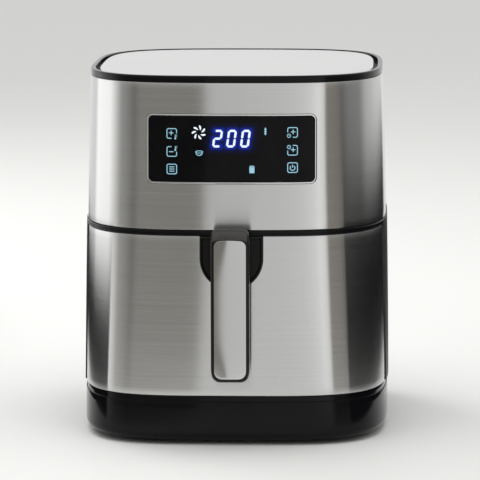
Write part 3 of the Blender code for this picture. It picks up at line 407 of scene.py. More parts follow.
# ---- node trees that repeat a shape ------------------------------------------------------
def add(tree, kind, inputs=None, **settings):
    """A node with its settings, its values, and its links where a value is a socket."""
    node = tree.nodes.new(kind)
    for key, value in settings.items():
        setattr(node, key, value)
    for key, value in (inputs or {}).items():
        if isinstance(value, bpy.types.NodeSocket):
            tree.links.new(value, node.inputs[key])
        else:
            node.inputs[key].default_value = value
    return node


def sum_of(tree, a, b, operation="ADD"):
    return add(tree, "ShaderNodeMath", {0: a, 1: b}, operation=operation).outputs[0]


def new_group(name, inputs, outputs, kind="ShaderNodeTree"):
    """A node group with named sockets, its given values and its results."""
    tree = bpy.data.node_groups.new(name, kind)
    for label, socket_kind, *value in inputs:
        socket = tree.interface.new_socket(label, in_out="INPUT",
                                           socket_type="NodeSocket" + socket_kind)
        if value:
            socket.default_value = value[0]
    for label, socket_kind in outputs:
        tree.interface.new_socket(label, in_out="OUTPUT", socket_type="NodeSocket" + socket_kind)
    return tree, tree.nodes.new("NodeGroupInput").outputs, tree.nodes.new("NodeGroupOutput").inputs


def new_tree(name, *inputs):
    """A geometry tree that is given a shape, a material and the inputs named here."""
    return new_group(name, [("Shape", "Object"), *inputs, ("Material", "Material")],
                     [("Geometry", "Geometry")], "GeometryNodeTree")


def shapes_at(tree, given, out, points, **more):
    """Put the shape on the points, as real geometry in the given material."""
    info = add(tree, "GeometryNodeObjectInfo", {"Object": given["Shape"]})
    spread = add(tree, "GeometryNodeInstanceOnPoints",
                 {"Points": points, "Instance": info.outputs["Geometry"], **more})
    real = add(tree, "GeometryNodeRealizeInstances", {"Geometry": spread.outputs["Instances"]})
    paint = add(tree, "GeometryNodeSetMaterial", {"Geometry": real.outputs["Geometry"],
                                                  "Material": given["Material"]})
    tree.links.new(paint.outputs["Geometry"], out["Geometry"])
    return tree


def row_tree():
    """A shape repeated in a straight row."""
    tree, given, out = new_tree("row_of_shapes", ("Count", "Int"), ("Start", "Vector"),
                                ("Step", "Vector"))
    line = add(tree, "GeometryNodeMeshLine", {"Count": given["Count"], "Offset": given["Step"],
                                              "Start Location": given["Start"]})
    return shapes_at(tree, given, out, line.outputs["Mesh"])


def grid_tree():
    """A shape repeated over a rectangle."""
    tree, given, out = new_tree("grid_of_shapes", ("Across", "Int"), ("Along", "Int"),
                                ("Width", "Float"), ("Length", "Float"), ("Centre", "Vector"))
    grid = add(tree, "GeometryNodeMeshGrid", {"Size X": given["Width"], "Size Y": given["Length"],
                                              "Vertices X": given["Across"],
                                              "Vertices Y": given["Along"]})
    move = add(tree, "GeometryNodeSetPosition", {"Geometry": grid.outputs["Mesh"],
                                                 "Offset": given["Centre"]})
    return shapes_at(tree, given, out, move.outputs["Geometry"])


def wheel_tree():
    """A shape repeated round an upright axis, turned to face outwards."""
    tree, given, out = new_tree("wheel_of_shapes", ("Count", "Int"), ("Centre", "Vector"))
    line = add(tree, "GeometryNodeMeshLine", {"Count": given["Count"], "Offset": ORIGIN,
                                              "Start Location": given["Centre"]})
    index = add(tree, "GeometryNodeInputIndex").outputs["Index"]
    angle = sum_of(tree, sum_of(tree, index, given["Count"], "DIVIDE"), math.tau, "MULTIPLY")
    turn = add(tree, "ShaderNodeCombineXYZ", {"Z": angle}).outputs["Vector"]
    return shapes_at(tree, given, out, line.outputs["Mesh"], Rotation=turn)


TREES = {"row": row_tree(), "grid": grid_tree(), "wheel": wheel_tree()}


def repeated(name, kind, shape, finish, **values):
    """Run one of the trees on a shape and keep the result as a plain mesh."""
    piece = placed(bpy.data.objects.new(name, bpy.data.meshes.new(name)))
    grow = piece.modifiers.new("grow", "NODES")
    grow.node_group = TREES[kind]
    given = {"Shape": shape, "Material": finish, **values}
    for socket in TREES[kind].interface.items_tree:
        if socket.in_out == "INPUT":
            grow[socket.identifier] = given[socket.name]
    made_plain(piece)
    bpy.data.objects.remove(shape, do_unlink=True)
    return piece


# ---- materials ---------------------------------------------------------------------------
def noise(tree, vector, scale, detail=3.0, rough=0.55):
    node = add(tree, "ShaderNodeTexNoise", {"Vector": vector, "Scale": scale, "Detail": detail,
                                            "Roughness": rough})
    return node.outputs[0]


def ranged(tree, value, low, high, to_low, to_high):
    return add(tree, "ShaderNodeMapRange", {"Value": value, "From Min": low, "From Max": high,
                                            "To Min": to_low, "To Max": to_high}).outputs[0]


def mixed(tree, factor, a, b, blend="MIX"):
    return add(tree, "ShaderNodeMix", {0: factor, 6: a, 7: b}, data_type="RGBA",
               blend_type=blend).outputs[2]


def brushed_group():
    """Fine lines left by a brush: long one way and thin the other."""
    tree, given, out = new_group("brushed_lines", [
        ("Vector", "Vector"), ("Stretch", "Vector", (1, 1, 1)),
        ("Contrast", "Float", 0.1)],
        [("Shade", "Float"), ("Height", "Float")])
    place = add(tree, "ShaderNodeVectorMath", {0: given["Vector"], 1: given["Stretch"]},
                operation="MULTIPLY").outputs[0]
    coarse = noise(tree, place, 1.0, 2.0, 0.5)
    fine = noise(tree, place, 3.3, 3.0, 0.6)
    lines = sum_of(tree, sum_of(tree, coarse, 0.45, "MULTIPLY"),
                   sum_of(tree, fine, 0.55, "MULTIPLY"))
    low = sum_of(tree, 1.0, given["Contrast"], "SUBTRACT")
    high = sum_of(tree, 1.0, given["Contrast"])
    tree.links.new(ranged(tree, lines, 0.3, 0.7, low, high), out["Shade"])
    tree.links.new(lines, out["Height"])
    return tree


def moulded_group():
    """The fine sparked grain of moulded plastic, with faint cloudy patches."""
    tree, given, out = new_group("moulded_grain", [
        ("Vector", "Vector"), ("Grain", "Float", 1500.0),
        ("Patches", "Float", 12.0)],
        [("Shade", "Float"), ("Height", "Float")])
    tree.links.new(noise(tree, given["Vector"], given["Grain"], 2.0, 0.6), out["Height"])
    tree.links.new(noise(tree, given["Vector"], given["Patches"], 4.0, 0.6), out["Shade"])
    return tree


def handled_group():
    """Soft smears of handling on a glossy surface, as a mask."""
    tree, given, out = new_group("handling_smears", [
        ("Vector", "Vector"), ("Size", "Float", 9.0)],
        [("Mask", "Float")])
    wide = noise(tree, given["Vector"], given["Size"], 5.0, 0.7)
    tree.links.new(ranged(tree, wide, 0.42, 0.72, 0.0, 1.0), out["Mask"])
    return tree


def edge_group():
    """Edges that rub against things, broken up so that they don't look drawn."""
    tree, given, out = new_group("rubbed_edges", [
        ("Vector", "Vector"), ("Amount", "Float", 0.5)],
        [("Mask", "Float")])
    point = add(tree, "ShaderNodeNewGeometry").outputs["Pointiness"]
    edge = ranged(tree, point, 0.52, 0.62, 0.0, 1.0)
    patchy = ranged(tree, noise(tree, given["Vector"], 90.0), 0.35, 0.65, 0.2, 1.0)
    mask = sum_of(tree, sum_of(tree, edge, patchy, "MULTIPLY"), given["Amount"], "MULTIPLY")
    tree.links.new(mask, out["Mask"])
    return tree


GROUPS = {"brushed": brushed_group(), "moulded": moulded_group(), "handled": handled_group(),
          "edges": edge_group()}


def effect(tree, name, inputs):
    return add(tree, "ShaderNodeGroup", inputs, node_tree=GROUPS[name]).outputs


def new_finish(name, colour, roughness, metallic=0.0, **sockets):
    """A material with a Principled shader, and its node tree, shader and place output."""
    material = bpy.data.materials.new(name)
    material.use_nodes = True
    tree = material.node_tree
    shader = tree.nodes["Principled BSDF"]
    shader.inputs["Base Color"].default_value = shaded(colour)
    shader.inputs["Roughness"].default_value = roughness
    shader.inputs["Metallic"].default_value = metallic
    for key, value in sockets.items():
        shader.inputs[key.replace("_", " ")].default_value = value
    place = add(tree, "ShaderNodeTexCoord").outputs["Object"]
    return material, tree, shader, place


def shaded(colour, share=1.0, plus=0.0):
    """A lighter or darker version of a colour, with its alpha."""
    return (*[min(1.0, part * share + plus) for part in colour], 1.0)


def tint(tree, shader, factor, low, high):
    """Let the base colour wander between two colours with a factor."""
    colour = mixed(tree, factor, low, high)
    tree.links.new(colour, shader.inputs["Base Color"])


def mixed_shader(tree, factor, first, second, surface):
    """Fade from one shader to another and send the result to a surface socket."""
    mix = add(tree, "ShaderNodeMixShader", {0: factor, 1: first.outputs[0],
                                            2: second.outputs[0]})
    tree.links.new(mix.outputs[0], surface)


def rough_from(tree, shader, value):
    tree.links.new(value, shader.inputs["Roughness"])


def smeared(tree, shader, place, size, low, high):
    """Roughness from low to high where a surface has been handled. Returns the mask."""
    mask = effect(tree, "handled", {"Vector": place, "Size": size})["Mask"]
    rough_from(tree, shader, ranged(tree, mask, 0.0, 1.0, low, high))
    return mask


def bumped(tree, shader, height, distance, strength=1.0):
    bump = add(tree, "ShaderNodeBump", {"Height": height, "Distance": distance,
                                        "Strength": strength})
    tree.links.new(bump.outputs["Normal"], shader.inputs["Normal"])


def brushed_steel(name, colour, roughness, stretch, contrast=0.06, spread=0.75):
    """Steel brushed along its UV map's first direction."""
    material, tree, shader, place = new_finish(name, colour, roughness, 1.0)
    shader.inputs["Anisotropic"].default_value = spread
    shader.inputs["Anisotropic Rotation"].default_value = 0.25
    grain = add(tree, "ShaderNodeTangent", direction_type="UV_MAP", uv_map="grain")
    tree.links.new(grain.outputs["Tangent"], shader.inputs["Tangent"])
    lines = effect(tree, "brushed", {"Vector": place, "Stretch": stretch, "Contrast": contrast})
    smear = effect(tree, "handled", {"Vector": place, "Size": 7.0})
    tint(tree, shader, ranged(tree, lines["Shade"], 1 - contrast, 1 + contrast, 0.0, 1.0),
         shaded(colour, 1 - contrast * 1.3), shaded(colour, 1 + contrast))
    rough = sum_of(tree, ranged(tree, lines["Height"], 0.3, 0.7, roughness - 0.02,
                                roughness + 0.02),
                   sum_of(tree, smear["Mask"], 0.015, "MULTIPLY"))
    rough_from(tree, shader, rough)
    bumped(tree, shader, lines["Height"], 0.000004, 0.3)
    return material


def polished_steel(name, colour, roughness, smears=0.05):
    material, tree, shader, place = new_finish(name, colour, roughness, 1.0)
    smeared(tree, shader, place, 14.0, roughness, roughness + smears)
    fine = noise(tree, place, 420.0, 4.0)
    tint(tree, shader, fine, shaded(colour, 0.96), shaded(colour))
    bumped(tree, shader, fine, 0.000004, 0.3)
    return material


def gloss_plastic(name, colour, roughness=0.10, smears=0.08, level=0.22):
    material, tree, shader, place = new_finish(name, colour, roughness,
                                               Specular_IOR_Level=level)
    smeared(tree, shader, place, 16.0, roughness, roughness + smears)
    rub = effect(tree, "edges", {"Vector": place, "Amount": 0.35})
    tint(tree, shader, rub["Mask"], shaded(colour), shaded(colour, 1.5, 0.012))
    wave = noise(tree, place, 45.0, 1.0)
    bumped(tree, shader, wave, 0.00006, 0.5)
    return material


def moulded_plastic(name, colour, roughness=0.46, grain=1600.0, depth=0.00006, rub=0.4,
                    level=0.5):
    material, tree, shader, place = new_finish(name, colour, roughness, Specular_IOR_Level=level)
    skin = effect(tree, "moulded", {"Vector": place, "Grain": grain, "Patches": 14.0})
    edges = effect(tree, "edges", {"Vector": place, "Amount": rub})
    base = mixed(tree, skin["Shade"], shaded(colour, 0.8), shaded(colour, 1.25))
    tint(tree, shader, edges["Mask"], base, shaded(colour, 1.6, 0.02))
    rough_from(tree, shader, ranged(tree, skin["Shade"], 0.3, 0.7, roughness + 0.06,
                                    roughness - 0.06))
    bumped(tree, shader, skin["Height"], depth, 0.8)
    return material


def speckled(name, colour, fleck, roughness, grain, metallic=0.0, share=0.62, depth=0.00003):
    """A coat with small lighter flecks, such as non-stick enamel or spangled aluminised steel."""
    material, tree, shader, place = new_finish(name, colour, roughness, metallic)
    cells = add(tree, "ShaderNodeTexVoronoi", {"Vector": place, "Scale": grain})
    dots = ranged(tree, cells.outputs["Color"], share, 1.0, 0.0, 1.0)
    skin = effect(tree, "moulded", {"Vector": place, "Grain": grain * 1.7, "Patches": 18.0})
    rub = effect(tree, "edges", {"Vector": place, "Amount": 0.5})
    base = mixed(tree, dots, shaded(colour), shaded(fleck))
    tint(tree, shader, rub["Mask"], base, shaded(fleck, 1.4, 0.03))
    rough_from(tree, shader, ranged(tree, skin["Shade"], 0.3, 0.7, roughness - 0.05,
                                    roughness + 0.08))
    bumped(tree, shader, skin["Height"], depth, 0.6)
    return material


def glowing(name, colour, strength):
    """A lit symbol behind the glass, a little uneven as an LED guide is."""
    material, tree, shader, place = new_finish(name, (0.02, 0.02, 0.02), 0.25)
    uneven = ranged(tree, noise(tree, place, 260.0, 2.0), 0.3, 0.7, 0.90, 1.06)
    lit = add(tree, "ShaderNodeVectorMath", {0: colour, "Scale": uneven}, operation="SCALE")
    tree.links.new(lit.outputs[0], shader.inputs["Emission Color"])
    shader.inputs["Emission Strength"].default_value = strength
    return material


def display_black():
    """Black glass, lit faintly blue round the symbols behind it."""
    material, tree, shader, place = new_finish("display_black_glass", (0.004, 0.004, 0.005), 0.05,
                                               Specular_IOR_Level=0.10)
    smear = smeared(tree, shader, place, 22.0, 0.04, 0.09)
    tint(tree, shader, smear, (0.0030, 0.0030, 0.0040, 1.0), (0.0060, 0.0058, 0.0058, 1.0))
    halo = add(tree, "ShaderNodeAttribute", attribute_name="halo")
    near = add(tree, "ShaderNodeVectorMath", {0: (0.002, 0.022, 0.34), "Scale": halo.outputs[2]},
               operation="SCALE")
    tree.links.new(near.outputs[0], shader.inputs["Emission Color"])
    shader.inputs["Emission Strength"].default_value = 1.0
    return material


BRUSH = (3.0, 3.0, 900.0)
FINISH = {
    "body_steel": brushed_steel("brushed_body_steel", (0.605, 0.605, 0.60), 0.19, BRUSH, 0.022,
                                1.0),
    "insert_steel": brushed_steel("satin_grip_steel", (0.62, 0.62, 0.615), 0.10,
                                  (60.0, 60.0, 900.0), 0.02, 0.5),
    "top_steel": polished_steel("polished_lid_steel", (0.80, 0.80, 0.79), 0.12),
    "bright_trim": polished_steel("bright_trim_steel", (0.74, 0.74, 0.73), 0.14),
    "gloss_black": gloss_plastic("gloss_black_plastic", (0.004, 0.004, 0.005), level=0.15),
    "grip_black": gloss_plastic("grip_gloss_black", (0.010, 0.0095, 0.009), 0.13),
    # a plastic lighter and rougher than the gloss black grip, for the shell over its crown
    "thumb_pad": moulded_plastic("lighter_crown_plastic", (0.036, 0.033, 0.030), 0.42, 1600.0, 0.00004,
                                 0.2),
    "matte_black": moulded_plastic("moulded_black_plastic", (0.022, 0.022, 0.023)),
    "shield_black": moulded_plastic("satin_shield_black", (0.006, 0.006, 0.006), 0.34, level=0.2),
    "display_glass": display_black(),
    "white_light": glowing("lit_white_digits", (0.80, 0.90, 1.0), 1.15),
    "blue_light": glowing("lit_blue_keys", (0.30, 0.60, 0.74), 1.0),
    "silicone": moulded_plastic("grey_silicone", (0.050, 0.050, 0.052), 0.66, 900.0, 0.00004, 0.2),
    "nonstick": speckled("nonstick_coat", (0.026, 0.026, 0.028), (0.075, 0.075, 0.078), 0.36,
                         900.0, share=0.80),
    "circuit_board": speckled("green_solder_mask", (0.022, 0.12, 0.05), (0.05, 0.20, 0.09), 0.42,
                              420.0),
    "light_plastic": moulded_plastic("pale_plastic", (0.74, 0.74, 0.70), 0.48),
    "aluminised_steel": speckled("aluminised_sheet", (0.52, 0.53, 0.54), (0.62, 0.63, 0.65), 0.36,
                                 260.0, 1.0, 0.35, 0.00001),
    "heater_sheath": speckled("heater_sheath_metal", (0.10, 0.085, 0.078), (0.20, 0.15, 0.12),
                              0.46, 500.0, 1.0, 0.4),
    "lamination": brushed_steel("stacked_lamination", (0.23, 0.22, 0.21), 0.40,
                                (20.0, 20.0, 2400.0), 0.25, 0.3),
    "bearing_bronze": polished_steel("sintered_bronze", (0.50, 0.33, 0.16), 0.34),
}


# ---- pieces of the housing ---------------------------------------------------------------
HEM, MESH_STEP = 0.00035, 0.006
WINDOW_R = 0.0060
VENTS, VENT_PITCH, VENT_LOWEST = 7, 0.0070, 0.2550
VENT_HALF_W, VENT_HALF_H, VENT_R = 0.042, 0.0018, 0.0017
REAR_WALL = 0.153  # from the body's axis to the wall that the vents go through
POST_R = 0.005


def middle_of(node):
    low, high = box_of(node)
    return [(a + b) / 2 for a, b in zip(low, high)]


def sheet_profile(low, high):
    return divided(boxed((0.0, low), (SHEET, high), HEM, 3), MESH_STEP)


def make_upper_skin():
    low, high = box_of("upper_wrap")
    bm = swept_bm(sheet_profile(low[2], high[2]), WRAP_SPLIT_Y, count=340)
    skin = object_from("upper_steel_skin", bm)
    glass_low, glass_high = box_of("display_frame")
    outline = boxed((glass_low[0] - GAP, glass_low[2] - GAP),
                    (glass_high[0] + GAP, glass_high[2] + GAP), WINDOW_R, 8)
    cut(skin, prism("window", outline, AXIS_Y - 0.2, AXIS_Y - 0.1))
    dressed(skin, "housing", "body_steel", ["upper_wrap"])


def make_rear_housing():
    low, high = box_of("rear_cover")
    profile = divided(rounded([(0.0, low[2], 0.0006), (0.0, high[2], 0.0006),
                               (WALL, high[2], 0.0004), (WALL, low[2], 0.0004)], 3), 0.006)
    cover = object_from("rear_housing", swept_bm(profile, WRAP_SPLIT_Y + 2 * GAP, True, 200))
    slot = boxed((-VENT_HALF_W, -VENT_HALF_H), (VENT_HALF_W, VENT_HALF_H), VENT_R, 4)
    shape = prism("vent_slot", slot, -0.012, 0.012)
    vents = repeated("vent_slots", "row", shape, FINISH["matte_black"], Count=VENTS,
                     Start=(0.0, AXIS_Y + REAR_WALL, VENT_LOWEST), Step=(0.0, 0.0, VENT_PITCH))
    cut(cover, vents)
    dressed(cover, "housing", "matte_black", ["rear_cover"])


def make_lower_shell():
    low, high = box_of("lower_shell")
    profile = divided(rounded([(-PROUD, low[2], 0.0006), (-PROUD, high[2], 0.0010),
                               (WALL - PROUD, high[2], 0.0004), (WALL - PROUD, low[2], 0.0004)],
                              4), 0.006)
    shell = object_from("lower_rear_shell", swept_bm(profile, DRAWER_SPLIT_Y + 2 * GAP, True, 320))
    place = (0.0, box_of("cord_gland")[0][1], middle_of("cord_gland")[2])
    cut(shell, object_from("gland_bore", peg_bm(0.0070, -0.02, 0.02, place, "Y", 32)))
    dressed(shell, "housing", "matte_black", ["lower_shell"])


def make_top_rim():
    ledge = RIM_BOX[0][2]
    low = HEIGHT - 0.0060
    skirt = WALL + 2 * GAP
    profile = rounded([(0.0, low, 0.0005), (0.0, HEIGHT, 0.0015), (0.0045, HEIGHT, 0.0011),
                       (0.0045, ledge + 0.0025, 0.0005), (0.0160, ledge + 0.0025, 0.0),
                       (0.0160, ledge, 0.0), (skirt, ledge, 0.0003), (skirt, low, 0.0003)], 5)
    bm = swept_bm(divided(profile, 0.004), count=400)
    finished("top_rim", bm, "housing", "gloss_black", ["top_ring"])


def make_lid():
    low, high = box_of("top_plate")
    edge, soft = 0.0080, 0.0022
    levels = [(edge + SHEET + 0.004, low[2]), (edge + 0.0003, low[2]), (edge, low[2] + 0.0003)]
    levels += arc((edge + soft, high[2] - soft * 0.9), soft, 180, 90, 8, soft * 0.9)
    levels += [(edge + 0.006, high[2]), (edge + 0.014, high[2]), (edge + 0.030, high[2])]
    bm = stacked_bm(levels, body_point, 400)
    finished("lid_plate", bm, "housing", "top_steel", ["top_plate"], uv=flat_top)


def make_base():
    low, high = box_of("base_shell")
    bottom, top = low[2], high[2]
    step, wall, curl = 0.0008, 0.0025, 0.0075
    levels = [(0.0300, bottom + 0.0006), (curl + 0.004, bottom + 0.0006)]
    levels += arc((curl, bottom + curl), curl, 270, 180, 10)
    levels += [(0.0, 0.018), (0.0, 0.026), (0.0, 0.033)]
    levels += [(0.0, top - 0.0060), (0.0001, top - 0.0057), (step * 0.5, top - 0.0055),
               (step, top - 0.0053), (step, top - 0.0030), (step, top - 0.0006),
               (step + 0.0002, top - 0.0002), (step + 0.0006, top)]
    levels += [(step + wall - 0.0004, top), (step + wall, top - 0.0004),
               (step + wall, 0.0140), (0.0100, bottom + 0.0026), (0.0300, bottom + 0.0026)]
    bm = stacked_bm(levels, body_point, 360)
    base = object_from("base_skirt", bm)
    posts = bmesh.new()
    for corner in FOUR_CORNERS:
        x, y, _ = middle_of("foot_" + corner)
        peg_bm(POST_R, bottom + 0.0015, top - 0.0036, (x, y, 0.0), bm=posts)
    cut(base, object_from("posts", posts), operation="UNION")
    dressed(base, "housing", "gloss_black", ["base_shell"])


def spread_like(nodes):
    """The grid that puts a shape at each of four nodes, given front left to rear right."""
    first, last = middle_of(nodes[0]), middle_of(nodes[3])
    return {"Across": 2, "Along": 2, "Width": abs(last[0] - first[0]),
            "Length": abs(last[1] - first[1]), "Centre": (0.0, (first[1] + last[1]) / 2, 0.0)}


def make_feet():
    names = ["foot_" + corner for corner in FOUR_CORNERS]
    profile = [(0.0, 0.0008), (0.0060, 0.0008), (0.0064, 0.0004), (0.0068, 0.0), (0.0095, 0.0),
               (0.0102, 0.0003), (0.0106, 0.0009), (0.0110, 0.0030), (0.0108, 0.0035),
               (0.0104, 0.0037), (0.0, 0.0037)]
    foot = object_from("foot_shape", turned_bm(profile, ORIGIN, steps=40))
    feet = repeated("rubber_feet", "grid", foot, FINISH["silicone"], **spread_like(names))
    dressed(feet, "housing", "silicone", names, uv=flat_top)


def make_gland():
    low, high = box_of("cord_gland")
    z = (low[2] + high[2]) / 2
    outside = high[1] - 0.0050
    profile = [(0.0040, 0.0065), (0.0067, 0.0065), (0.0067, 0.0), (0.0089, -0.0003),
               (0.0092, -0.0006), (0.0092, -0.0020), (0.0086, -0.0025), (0.0066, -0.0026),
               (0.0062, -0.0031), (0.0062, -0.0036), (0.0056, -0.0038), (0.0056, -0.0044),
               (0.0053, -0.0050), (0.0043, -0.0050), (0.0040, -0.0046)]
    bm = turned_bm(profile, (0.0, outside, z), "Y", 40, closed=True)
    finished("cord_bushing", bm, "housing", "matte_black", ["cord_gland"], uv=flat_front)


# ---- display -----------------------------------------------------------------------------
GLASS_LOW, GLASS_HIGH = box_of("display_lens")
GLASS_W = GLASS_HIGH[0] - GLASS_LOW[0]
GLASS_H = GLASS_HIGH[2] - GLASS_LOW[2]
GLASS_Z = (GLASS_HIGH[2] + GLASS_LOW[2]) / 2
GLASS_R = 0.0040
GLASS_LIFT = 0.0002
DIGIT_H, DIGIT_W, DIGIT_PITCH, DIGIT_STROKE = 15.7, 7.9, 12.35, 1.9
DIGIT_SLANT = math.tan(math.radians(8.0))
DIGITS_AT = (0.1, 274.6)
SEGMENTS = {
    "top": ((0, 1), (1, 1)), "middle": ((0, 0.5), (1, 0.5)), "bottom": ((0, 0), (1, 0)),
    "upper_left": ((0, 0.5), (0, 1)), "upper_right": ((1, 0.5), (1, 1)),
    "lower_left": ((0, 0), (0, 0.5)), "lower_right": ((1, 0), (1, 0.5)),
}
NUMBERS = {
    "2": ("top", "upper_right", "middle", "lower_left", "bottom"),
    "0": ("top", "upper_left", "upper_right", "lower_left", "lower_right", "bottom"),
}
SHOWN_NUMBER = "200"


def digit_strokes():
    """The lit bars of the number, as pairs of end points in millimetres."""
    strokes = []
    reach_w, reach_h = DIGIT_W - DIGIT_STROKE, DIGIT_H - DIGIT_STROKE
    for place, digit in enumerate(SHOWN_NUMBER):
        centre = DIGITS_AT[0] + (place - (len(SHOWN_NUMBER) - 1) / 2) * DIGIT_PITCH
        for segment in NUMBERS[digit]:
            ends = []
            for u, v in SEGMENTS[segment]:
                z = (v - 0.5) * reach_h
                ends.append(Vector((centre + (u - 0.5) * reach_w + z * DIGIT_SLANT,
                                    DIGITS_AT[1] + z)))
            strokes.append(ends)
    return strokes


def bar_outline(start, end, width, gap=0.12):
    """A bar with pointed ends, as the segments of a number display have."""
    run = (end - start).normalized()
    side = Vector((-run.y, run.x)) * width / 2
    first, last = start + run * gap, end - run * gap
    tip = width / 2
    return [first, first + run * tip - side, last - run * tip - side, last,
            last - run * tip + side, first + run * tip + side]


def tile_into(bm, outline, low=0.00025, high=0.00045):
    """A thin flat tile on the glass, from an outline in millimetres."""
    loft_bm([[on_front(x * MM, z * MM, GLASS_LIFT + lift) for x, z in outline]
             for lift in (low, high)], bm=bm)


def ribbon_into(bm, points, width, closed=False, low=0.00025, high=0.00045):
    """A thin line of even width on the glass, along points in millimetres."""
    points = [Vector(point) for point in points]
    count = len(points)
    rows = []
    for i, point in enumerate(points):
        before = (point - points[i - 1]).normalized() if closed or i else None
        after = None
        if closed or i < count - 1:
            after = (points[(i + 1) % count] - point).normalized()
        before, after = before or after, after or before
        side = Vector((-(before + after).y, (before + after).x)).normalized()
        side *= width / 2 / max(0.5, side.dot(Vector((-after.y, after.x))))
        left, right = point + side, point - side
        rows.append([on_front(p.x * MM, p.y * MM, GLASS_LIFT + lift)
                     for p, lift in ((left, low), (right, low), (right, high), (left, high))])
    loft_bm(rows, closed=closed, bm=bm)


KEY_HALF, KEY_R, KEY_LINE = 4.3, 1.5, 0.75


def key_frame(centre, opening=None):
    """The rounded square round a key's symbol, open at one corner where a mark sits."""
    middle, reach = Vector(centre), KEY_HALF - KEY_R
    quarters = {"upper_right": 0, "upper_left": 90, "lower_left": 180, "lower_right": 270}
    first = quarters.get(opening, -90)
    points = []
    for start in range(first + 90, first + (360 if opening else 450), 90):
        out = Vector((reach, reach))
        out.rotate(Matrix.Rotation(math.radians(start), 2))
        points += arc(middle + out, KEY_R, start, start + 90, 5)
    if not opening:
        return points, True
    across = Vector((math.cos(math.radians(first)), math.sin(math.radians(first))))
    along = Vector((-across.y, across.x))
    return [middle + along * KEY_HALF - across * 0.2, *points,
            middle + across * KEY_HALF - along * 0.2], False


def thermometer(bm, centre):
    x, z = centre
    ribbon_into(bm, [(x, z - 0.9), (x, z + 1.9)], 0.7)
    tile_into(bm, arc((x, z - 1.5), 0.85, 0, 330, 11))
    for k in range(3):
        ribbon_into(bm, [(x + 0.8, z + 0.1 + 0.8 * k), (x + 1.6, z + 0.1 + 0.8 * k)], 0.35)


def clock(bm, centre):
    x, z = centre
    ribbon_into(bm, arc((x, z), 1.55, 0, 345, 15), 0.5, closed=True)
    ribbon_into(bm, [(x, z + 0.9), (x, z), (x + 0.7, z)], 0.4)


def plus(bm, centre):
    x, z = centre
    size, gap = 2.0, 0.38
    ribbon_into(bm, [(x - size, z), (x + size, z)], KEY_LINE)
    ribbon_into(bm, [(x, z + gap), (x, z + size)], KEY_LINE)
    ribbon_into(bm, [(x, z - gap), (x, z - size)], KEY_LINE)


def make_keys():
    """The six touch keys: warmer, cooler, list, longer, shorter and power."""
    bm = bmesh.new()
    left, right = -53.0, 54.2
    marks = [((left, 278.9), "lower_right", thermometer), ((left, 262.9), "upper_right",
                                                          thermometer),
             ((right, 280.0), "lower_left", clock), ((right, 264.2), "upper_left", clock)]
    for (x, z), corner, mark in marks:
        points, closed = key_frame((x, z), corner)
        ribbon_into(bm, points, KEY_LINE, closed)
        sx = 1 if "right" in corner else -1
        sz = 1 if "upper" in corner else -1
        mark(bm, (x + sx * 3.2, z + sz * 2.9))
        if sz * (1 if mark is thermometer else -1) < 0 or mark is clock and sz < 0:
            plus(bm, (x - sx * 0.5, z + 0.5))
        else:
            ribbon_into(bm, [(x - sx * 0.5 - 2.0, z - 0.2), (x - sx * 0.5 + 2.0, z - 0.2)],
                        KEY_LINE)
    for x, z in ((left, 247.3), (right, 248.8)):
        points, closed = key_frame((x, z))
        ribbon_into(bm, points, KEY_LINE, closed)
    for k in (-1, 0, 1):
        ribbon_into(bm, [(left - 2.3, 247.3 + 1.9 * k), (left + 2.3, 247.3 + 1.9 * k)], KEY_LINE)
    ribbon_into(bm, arc((right, 248.5), 2.15, 125, 415, 20), KEY_LINE)
    ribbon_into(bm, [(right, 248.8), (right, 251.4)], KEY_LINE)
    finished("lit_keys", bm, "housing", "blue_light", sharp=30, uv=flat_front)


def make_status_marks():
    """The small signs between the keys: fan, bowl, skewer and cup."""
    bm = bmesh.new()
    centre, blades = Vector((-28.9, 280.0)), 7
    for k in range(blades):
        angle = math.tau * k / blades + 0.3
        out = Vector((math.cos(angle), math.sin(angle)))
        side = Vector((-out.y, out.x))
        blade = [(2.3, 0.15), (3.1, 0.50), (4.0, 0.85), (4.9, 1.05), (5.7, 0.85), (6.2, 0.30)]
        bend = [centre + out * t + side * (0.06 * t * t - 0.8) for t, _ in blade]
        edge = [p + side * half for p, (_, half) in zip(bend, blade)]
        edge += [p - side * half for p, (_, half) in list(zip(bend, blade))[::-1]]
        tile_into(bm, edge)
    finished("lit_fan_sign", bm, "housing", "white_light", sharp=30, uv=flat_front)
    bm = bmesh.new()
    x, z = -28.6, 261.9
    ribbon_into(bm, arc((x, z + 0.8), 3.1, 200, 340, 14), 0.7)
    ribbon_into(bm, [(x - 3.2 + 3.2 * (1 - math.cos(a)), z + 0.8 + 1.0 * math.sin(a))
                     for a in [math.tau * k / 20 for k in range(20)]], 0.6, closed=True)
    x, z = 30.2, 281.0
    ribbon_into(bm, [(x, z - 3.4), (x, z + 3.6)], 0.4)
    for k in (-1.9, 0.0, 1.9):
        tile_into(bm, arc((x, z + k), 0.95, 0, 330, 11))
    x, z = 18.2, 247.2
    tile_into(bm, [(x - 2.2, z - 3.2), (x + 2.2, z - 3.2), (x + 2.3, z + 2.2), (x - 2.3, z + 2.2)])
    tile_into(bm, [(x - 2.3, z + 2.6), (x + 2.3, z + 2.6), (x + 1.5, z + 3.4), (x - 1.5, z + 3.4)])
    finished("lit_small_signs", bm, "housing", "blue_light", sharp=30, uv=flat_front)


def make_digits():
    bm = bmesh.new()
    for start, end in digit_strokes():
        tile_into(bm, bar_outline(start, end, DIGIT_STROKE))
    finished("lit_digits", bm, "housing", "white_light", sharp=30, uv=flat_front)


def distance_to(point, start, end):
    run = end - start
    share = max(0.0, min(1.0, (point - start).dot(run) / run.length_squared))
    return (point - start - run * share).length


